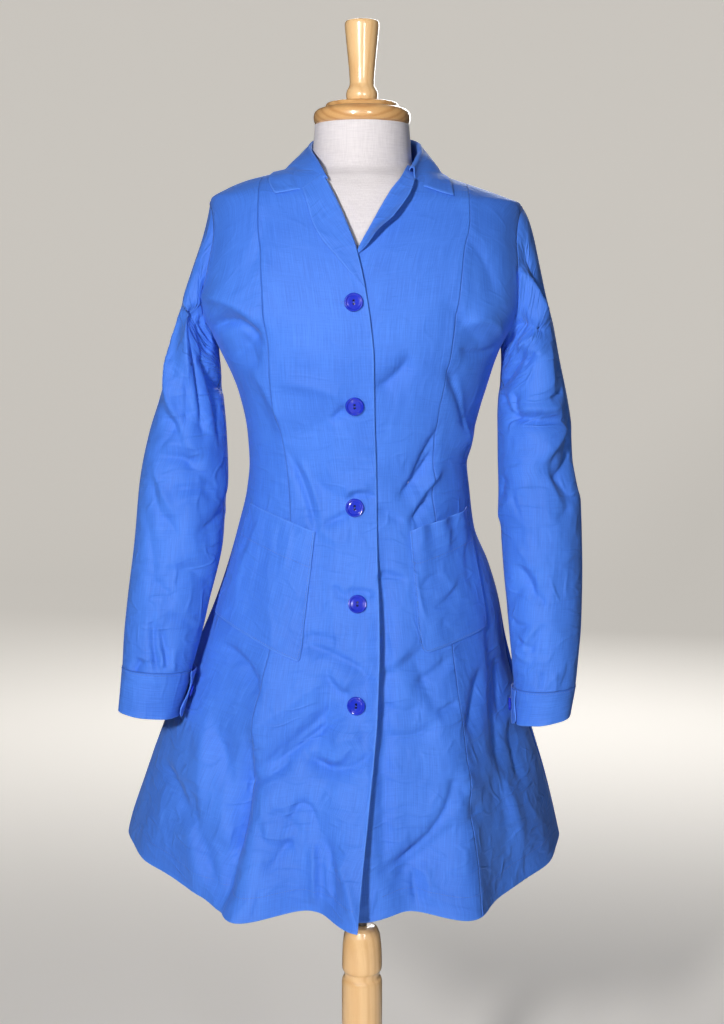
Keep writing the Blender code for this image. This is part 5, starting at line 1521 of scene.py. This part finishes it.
def sewn(name, lines):
    """Stitches along lines of points and outward directions, as one mesh of small beads."""
    middles, ahead, facing = [], [], []
    for points, normals in lines:
        run = lengths(points, 0)
        count = int(run[-1] / STITCH_PITCH)
        at = (np.arange(count) + 0.5) * STITCH_PITCH
        spot = np.stack([np.interp(at, run, points[:, k]) for k in range(3)], -1)
        way = np.stack([np.interp(at, run, np.gradient(points[:, k])) for k in range(3)], -1)
        out = np.stack([np.interp(at, run, normals[:, k]) for k in range(3)], -1)
        middles.append(spot)
        ahead.append(unit(way))
        facing.append(unit(out))
    middles, ahead, facing = (np.concatenate(v) for v in (middles, ahead, facing))
    aside = unit(np.cross(facing, ahead))
    shape = [(-0.5, 0, -0.4)]
    for along in (-0.3, 0.3):
        shape += [(along, 0.5, 0), (along, 0, 1.0), (along, -0.5, 0), (along, 0, -1.0)]
    shape = np.array(shape + [(0.5, 0, -0.4)])
    points = (middles[:, None] + ahead[:, None] * shape[:, 0, None] * STITCH_LONG
              + aside[:, None] * shape[:, 1, None] * STITCH_WIDE
              + facing[:, None] * (shape[:, 2, None] * STITCH_HIGH + 0.1))
    ring = [(1 + k, 1 + (k + 1) % 4, 5 + (k + 1) % 4, 5 + k) for k in range(4)]
    caps = [(0, 1 + (k + 1) % 4, 1 + k) for k in range(4)]
    caps += [(9, 5 + k, 5 + (k + 1) % 4) for k in range(4)]
    first = (np.arange(len(middles)) * len(shape))[:, None, None]
    faces = (np.array(ring)[None] + first).reshape(-1, 4)
    ends = (np.array(caps)[None] + first).reshape(-1, 3)
    return make_piece(name, points, faces, blue_thread, extra=ends.tolist())


HEM_UP = 25.0                # height of the hem's stitches above its edge
hem_lines = []
for low, high, surface in ((-1.0, -0.015, right_front), (0.05, 3.0, body)):
    u = np.linspace(low, high, 900)
    z = hem_height(u) + HEM_UP
    hem_lines.append((surface(u, z), normal_of(surface, u, z)))
sewn("hem_stitches", hem_lines)

POCKET_INSET = 2.0           # how far a pocket's stitches lie from its edge
inset_wide, inset_down = POCKET_INSET / POCKET_WIDE, POCKET_INSET / POCKET_DEEP
pocket_lines = []
for side in (-1, 1):
    run = np.linspace(0, 1, 160)
    ones = np.ones(160)
    for wide, down in ((inset_wide * ones, 0.01 + run * (0.99 - inset_down)),
                       ((1 - inset_wide) * ones, 0.01 + run * (0.99 - inset_down)),
                       (inset_wide + run * (1 - 2 * inset_wide), (1 - inset_down) * ones),
                       (run, POCKET_BAND * ones)):
        pocket_lines.append(pocket_surface(side, wide, down))
sewn("pocket_stitches", pocket_lines)

CUFF_STITCHES = 0.05         # how far down a cuff its stitches run, as a share of its depth
cuff_lines = []
for side in (-1, 1):
    turn = np.linspace(0.01, 0.985, 300)
    share = CUFF_START + (1 - CUFF_START) * (CUFF_STITCHES + 0 * turn)
    points = cuff_surface(side, turn, share)
    centre = (oval(side, share, 0 * turn) + oval(side, share, math.pi + 0 * turn)) / 2
    cuff_lines.append((points, unit(points - centre)))
sewn("cuff_stitches", cuff_lines)


# Buttons
# Glossy moulded buttons of royal blue plastic: a raised round rim, a dished face with a fine
# ring, and two holes one above the other, sewn down with the dress's own thread.
BUTTON_RADIUS = 10.5
CUFF_BUTTON_RADIUS = 8.0
BUTTONS = table("x z", (-9, 1230), (-8, 1116), (-8, 1001), (-5, 894), (-6, 783))
FACE_HEIGHT = 0.205          # height of its dished middle, as a share of its radius
BUTTON_FACE = table(
    "share height",
    (0.0, FACE_HEIGHT), (0.30, FACE_HEIGHT), (0.55, FACE_HEIGHT), (0.62, 0.200), (0.66, 0.175),
    (0.70, 0.172), (0.745, 0.215), (0.80, 0.275), (0.86, 0.305), (0.91, 0.305), (0.955, 0.275),
    (0.985, 0.220), (1.0, 0.15),
)
BUTTON_BACK = table(
    "share height",
    (1.0, 0.12), (0.985, 0.085), (0.95, 0.05), (0.88, 0.015), (0.80, 0), (0.4, 0), (0.02, 0),
)
BUTTON_AROUND = 72
HOLE_RADIUS = 0.125          # as shares of the button's radius
HOLE_PLACE = 0.165
HOLE_DEEP = 0.13
CUFF_BUTTON_TURN = 0.93      # how far along the cuff its button sits
CUFF_BUTTON_DOWN = 0.047     # and how far below the cuff's seam, as a share of the sleeve
LAID = 0.4                   # how far it stands off the cuff


def plastic_finish():
    """Evenly dyed gloss plastic with very faint moulding swirls and a few rubbed spots; its holes are
    painted nearly black as shade.
    """
    plastic = Finish("royal_plastic", specular_ior_level=0.5, coat_weight=0.35, coat_roughness=0.05)
    place = plastic.node("TexCoord", {}, {}, "Object")
    swirl = plastic.noise(place, (120, 120, 260), 4.0)
    rub = plastic.noise(place, (900, 900, 900), 2.0)
    colour = plastic.mixed(swirl, (0.008, 0.020, 0.40), (0.016, 0.040, 0.60))
    # Painted shade: the pits of the holes are coloured nearly black.
    pit = plastic.node("Attribute", {"attribute_name": "pit"}, {}, "Fac")
    colour = plastic.mixed(plastic.clear(pit, 0.1, 0.6), colour, (0.001, 0.002, 0.02))
    return plastic.finished(height=rub, depth=0.02, base_color=colour,
                            roughness=0.14 + plastic.clear(rub, 0.55, 0.8) * 0.12)


royal_plastic = plastic_finish()


def button_frame(facing):
    """Directions across and up a button that faces a given way."""
    across = unit(np.cross(np.array([0.0, 0.0, 1.0]), facing))
    return across, np.cross(facing, across)


def button(name, place, facing, radius, replaces):
    """A button: rings of its face, then of its rounded underside, with the two holes sunk.

    The holes are pits in the face, with steep walls from a smooth step of the distance.
    """
    across, up = button_frame(facing)
    angle = full_turn(BUTTON_AROUND)
    top = np.concatenate([np.linspace(0.02, 0.40, 20), np.linspace(0.42, 1.0, 26)])
    share = np.concatenate([top, BUTTON_BACK["share"]])[:, None]
    height = np.concatenate([read(BUTTON_FACE, "height", top), BUTTON_BACK["height"]])[:, None]
    x, y = share * np.cos(angle), share * np.sin(angle)
    pit = 0 * x
    for hole in (-1, 1):
        off = np.hypot(x, y - hole * HOLE_PLACE) / HOLE_RADIUS
        pit = pit + 1 - ease((off - 0.8) / 0.35)
    pit[len(top):] = 0
    z = height - HOLE_DEEP * pit
    x, y, z = (np.broadcast_to(v, x.shape)[..., None] * radius for v in (x, y, z))
    rings = place + across * x + up * y + facing * z
    rings = rings[::-1]
    count = rings.shape[0]
    ends = [range(BUTTON_AROUND - 1, -1, -1),
            range((count - 1) * BUTTON_AROUND, count * BUTTON_AROUND)]
    # The pit mask also goes to the finish, which paints the holes nearly black as shade.
    return make_piece(name, rings, grid_faces(count, BUTTON_AROUND, closed=True),
                      royal_plastic, replaces, values={"pit": pit[::-1]}, extra=ends)


def thread_bar(place, facing, radius):
    """The thread between a button's two holes, as a line for stitches to lie on."""
    across, up = button_frame(facing)
    run = np.linspace(-HOLE_PLACE, HOLE_PLACE, 12)[:, None] * radius
    points = place + up * run + facing * radius * FACE_HEIGHT
    return points, np.broadcast_to(facing, points.shape)


bars = []
for number, (x, z) in enumerate(zip(BUTTONS["x"], BUTTONS["z"]), 1):
    u = u_at(x, z)
    facing = normal_of(right_front, u, z)
    place = right_front(u, z) + facing * 2 * SEAM
    button(f"gloss_button_{number}", place, facing, BUTTON_RADIUS, [f"button_{number}"])
    bars.append(thread_bar(place, facing, BUTTON_RADIUS))

small = 0.02
for label, side in SIDES:
    turn, share = np.array(CUFF_BUTTON_TURN), np.array(CUFF_START + CUFF_BUTTON_DOWN)
    spot = cuff_surface(side, turn, share)
    ahead = cuff_surface(side, turn + small, share) - spot
    length = cuff_surface(side, turn, share + small) - spot
    facing = unit(np.cross(ahead, length))
    middle = (oval(side, share, np.array(0.0)) + oval(side, share, np.array(math.pi))) / 2
    facing = facing * np.sign(np.dot(facing, spot - middle))
    place = spot + facing * LAID
    button("gloss_cuff_button_" + label, place, facing, CUFF_BUTTON_RADIUS, ["cuff_button_" + label])
    bars.append(thread_bar(place, facing, CUFF_BUTTON_RADIUS))
sewn("button_threads", bars)


# Buttonholes
# Worked slits in the lapping front, closed by a row of thread on each side.  They lie under
# their buttons; only the top one's end peeps out beside its button.
HOLE_SLIT = table("left right", (-14.5, 8), (-9, 9), (-9, 9), (-9, 9), (-9, 9))
slit_lines = []
for x, z, left, right in zip(BUTTONS["x"], BUTTONS["z"], HOLE_SLIT["left"], HOLE_SLIT["right"]):
    for row in (-0.8, 0.8):
        along = np.linspace(x + left, x + right, 40)
        u = u_at(along, z + row)
        slit_lines.append((right_front(u, z + row + 0 * along),
                           normal_of(right_front, u, z + row + 0 * along)))
sewn("buttonhole_stitches", slit_lines)


# Floor and backdrop
# Pale matt paper: a round floor, and round it a sweep that bends up into a wall on all sides.
# The sweep glows as it goes away, so it is as pale everywhere, and only the camera sees it.
PAPER_AT = -850.0            # where along y its middle lies, between dress and camera
PAPER_AROUND = 128
PAPER_EYE = 1.0              # radius of the small opening at its middle
FLOOR_EDGE, WALL_AT, BEND, WALL_TOP = 1550.0, 9000.0, 2500.0, 14000.0
GLOW_FULL = 4.0              # metres from that middle where the sweep glows fully


def paper_finish():
    """Paper whose glow grows with the distance from its middle, beyond the floor's edge."""
    paper = Finish("pale_paper", roughness=0.9, emission_strength=1.0)
    place = paper.node("TexCoord", {}, {}, "Object")
    tone = paper.noise(place, (1.2, 1.2, 1.2))
    x, y, z = paper.parts(place)
    away = (x ** 2 + (y - PAPER_AT * MM) ** 2) ** 0.5
    glow = paper.clear(away, FLOOR_EDGE * MM, GLOW_FULL)
    return paper.finished(base_color=paper.mixed(tone, (0.85, 0.815, 0.77), (0.88, 0.845, 0.80)),
                          emission_color=paper.mixed(glow, (0, 0, 0), (0.50, 0.475, 0.435)))


pale_paper = paper_finish()


def paper_ring(name, profile):
    """A profile of (radius, height) carried round the paper's middle, seen from inside."""
    angle = full_turn(PAPER_AROUND)
    radius, height = np.array(profile, float).T[..., None]
    ring = np.stack([radius * np.cos(angle), radius * np.sin(angle) + PAPER_AT,
                     height + 0 * angle], -1)
    mesh = bpy.data.meshes.new(name)
    faces = grid_faces(len(profile), PAPER_AROUND, closed=True)[:, ::-1]
    mesh.from_pydata((ring.reshape(-1, 3) * MM).tolist(), [], faces.tolist())
    mesh.shade_smooth()
    mesh.materials.append(pale_paper)
    sheet = bpy.data.objects.new(name, mesh)
    bpy.context.scene.collection.objects.link(sheet)
    sheet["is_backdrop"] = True
    return sheet


bend = np.linspace(0, math.pi / 2, 24)
paper_ring("floor", [(PAPER_EYE, 0), (FLOOR_EDGE, 0)])
backdrop = paper_ring("backdrop", [
    (FLOOR_EDGE, 0),
    *np.stack([WALL_AT - BEND + BEND * np.sin(bend), BEND - BEND * np.cos(bend)], -1),
    (WALL_AT, WALL_TOP), (PAPER_EYE, WALL_TOP)])
backdrop.visible_diffuse = backdrop.visible_glossy = backdrop.visible_shadow = False


# Lights
# Soft round lamps: a small strong key to the camera's left, a weaker one to its right, a broad
# one above and one behind for the dress's back.
def soft_box(name, place, aim, size, power, colour=(1, 1, 1)):
    """A round area lamp at a place in metres, turned towards its aim."""
    lamp = bpy.data.lights.new(name, "AREA")
    lamp.shape, lamp.size, lamp.energy, lamp.color = "DISK", size, power, colour
    box = bpy.data.objects.new(name, lamp)
    box.location = place
    box.rotation_euler = (Vector(aim) - Vector(place)).to_track_quat("-Z", "Y").to_euler()
    bpy.context.scene.collection.objects.link(box)


soft_box("key", (-0.8, -2.2, 1.65), (0, 0, 1.05), 0.25, 57, (1.0, 0.985, 0.97))
soft_box("front", (0.7, -2.3, 1.5), (0, 0, 1.0), 0.5, 12, (0.97, 0.985, 1.0))
soft_box("top", (0.2, 0.2, 3.2), (0, 0.1, 1.0), 1.8, 2)
soft_box("behind", (0.6, 3.2, 2.4), (0, 0, 1.0), 1.6, 60)
world = bpy.data.worlds.new("room")
world.use_nodes = True
world.node_tree.nodes["Background"].inputs["Color"].default_value = (0.93, 0.95, 1.0, 1.0)
world.node_tree.nodes["Background"].inputs["Strength"].default_value = 0.04
bpy.context.scene.world = world
bpy.context.scene.view_settings.view_transform = "Standard"


# Camera
# Chest high and tilted a little down, so that the dress fills the picture from cap to post.
CAMERA_AWAY, CAMERA_HIGH = 1.80, 1.20
CAMERA_DOWN = math.radians(6.861)
CAMERA_LENS = 53.18
lens = bpy.data.cameras.new("camera")
lens.lens, lens.sensor_width, lens.sensor_fit = CAMERA_LENS, 36.0, "AUTO"
camera = bpy.data.objects.new("camera", lens)
camera.location = (0, -CAMERA_AWAY, CAMERA_HIGH)
camera.rotation_euler = (math.pi / 2 - CAMERA_DOWN, 0, 0)
bpy.context.scene.collection.objects.link(camera)
bpy.context.scene.camera = camera

low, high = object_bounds()
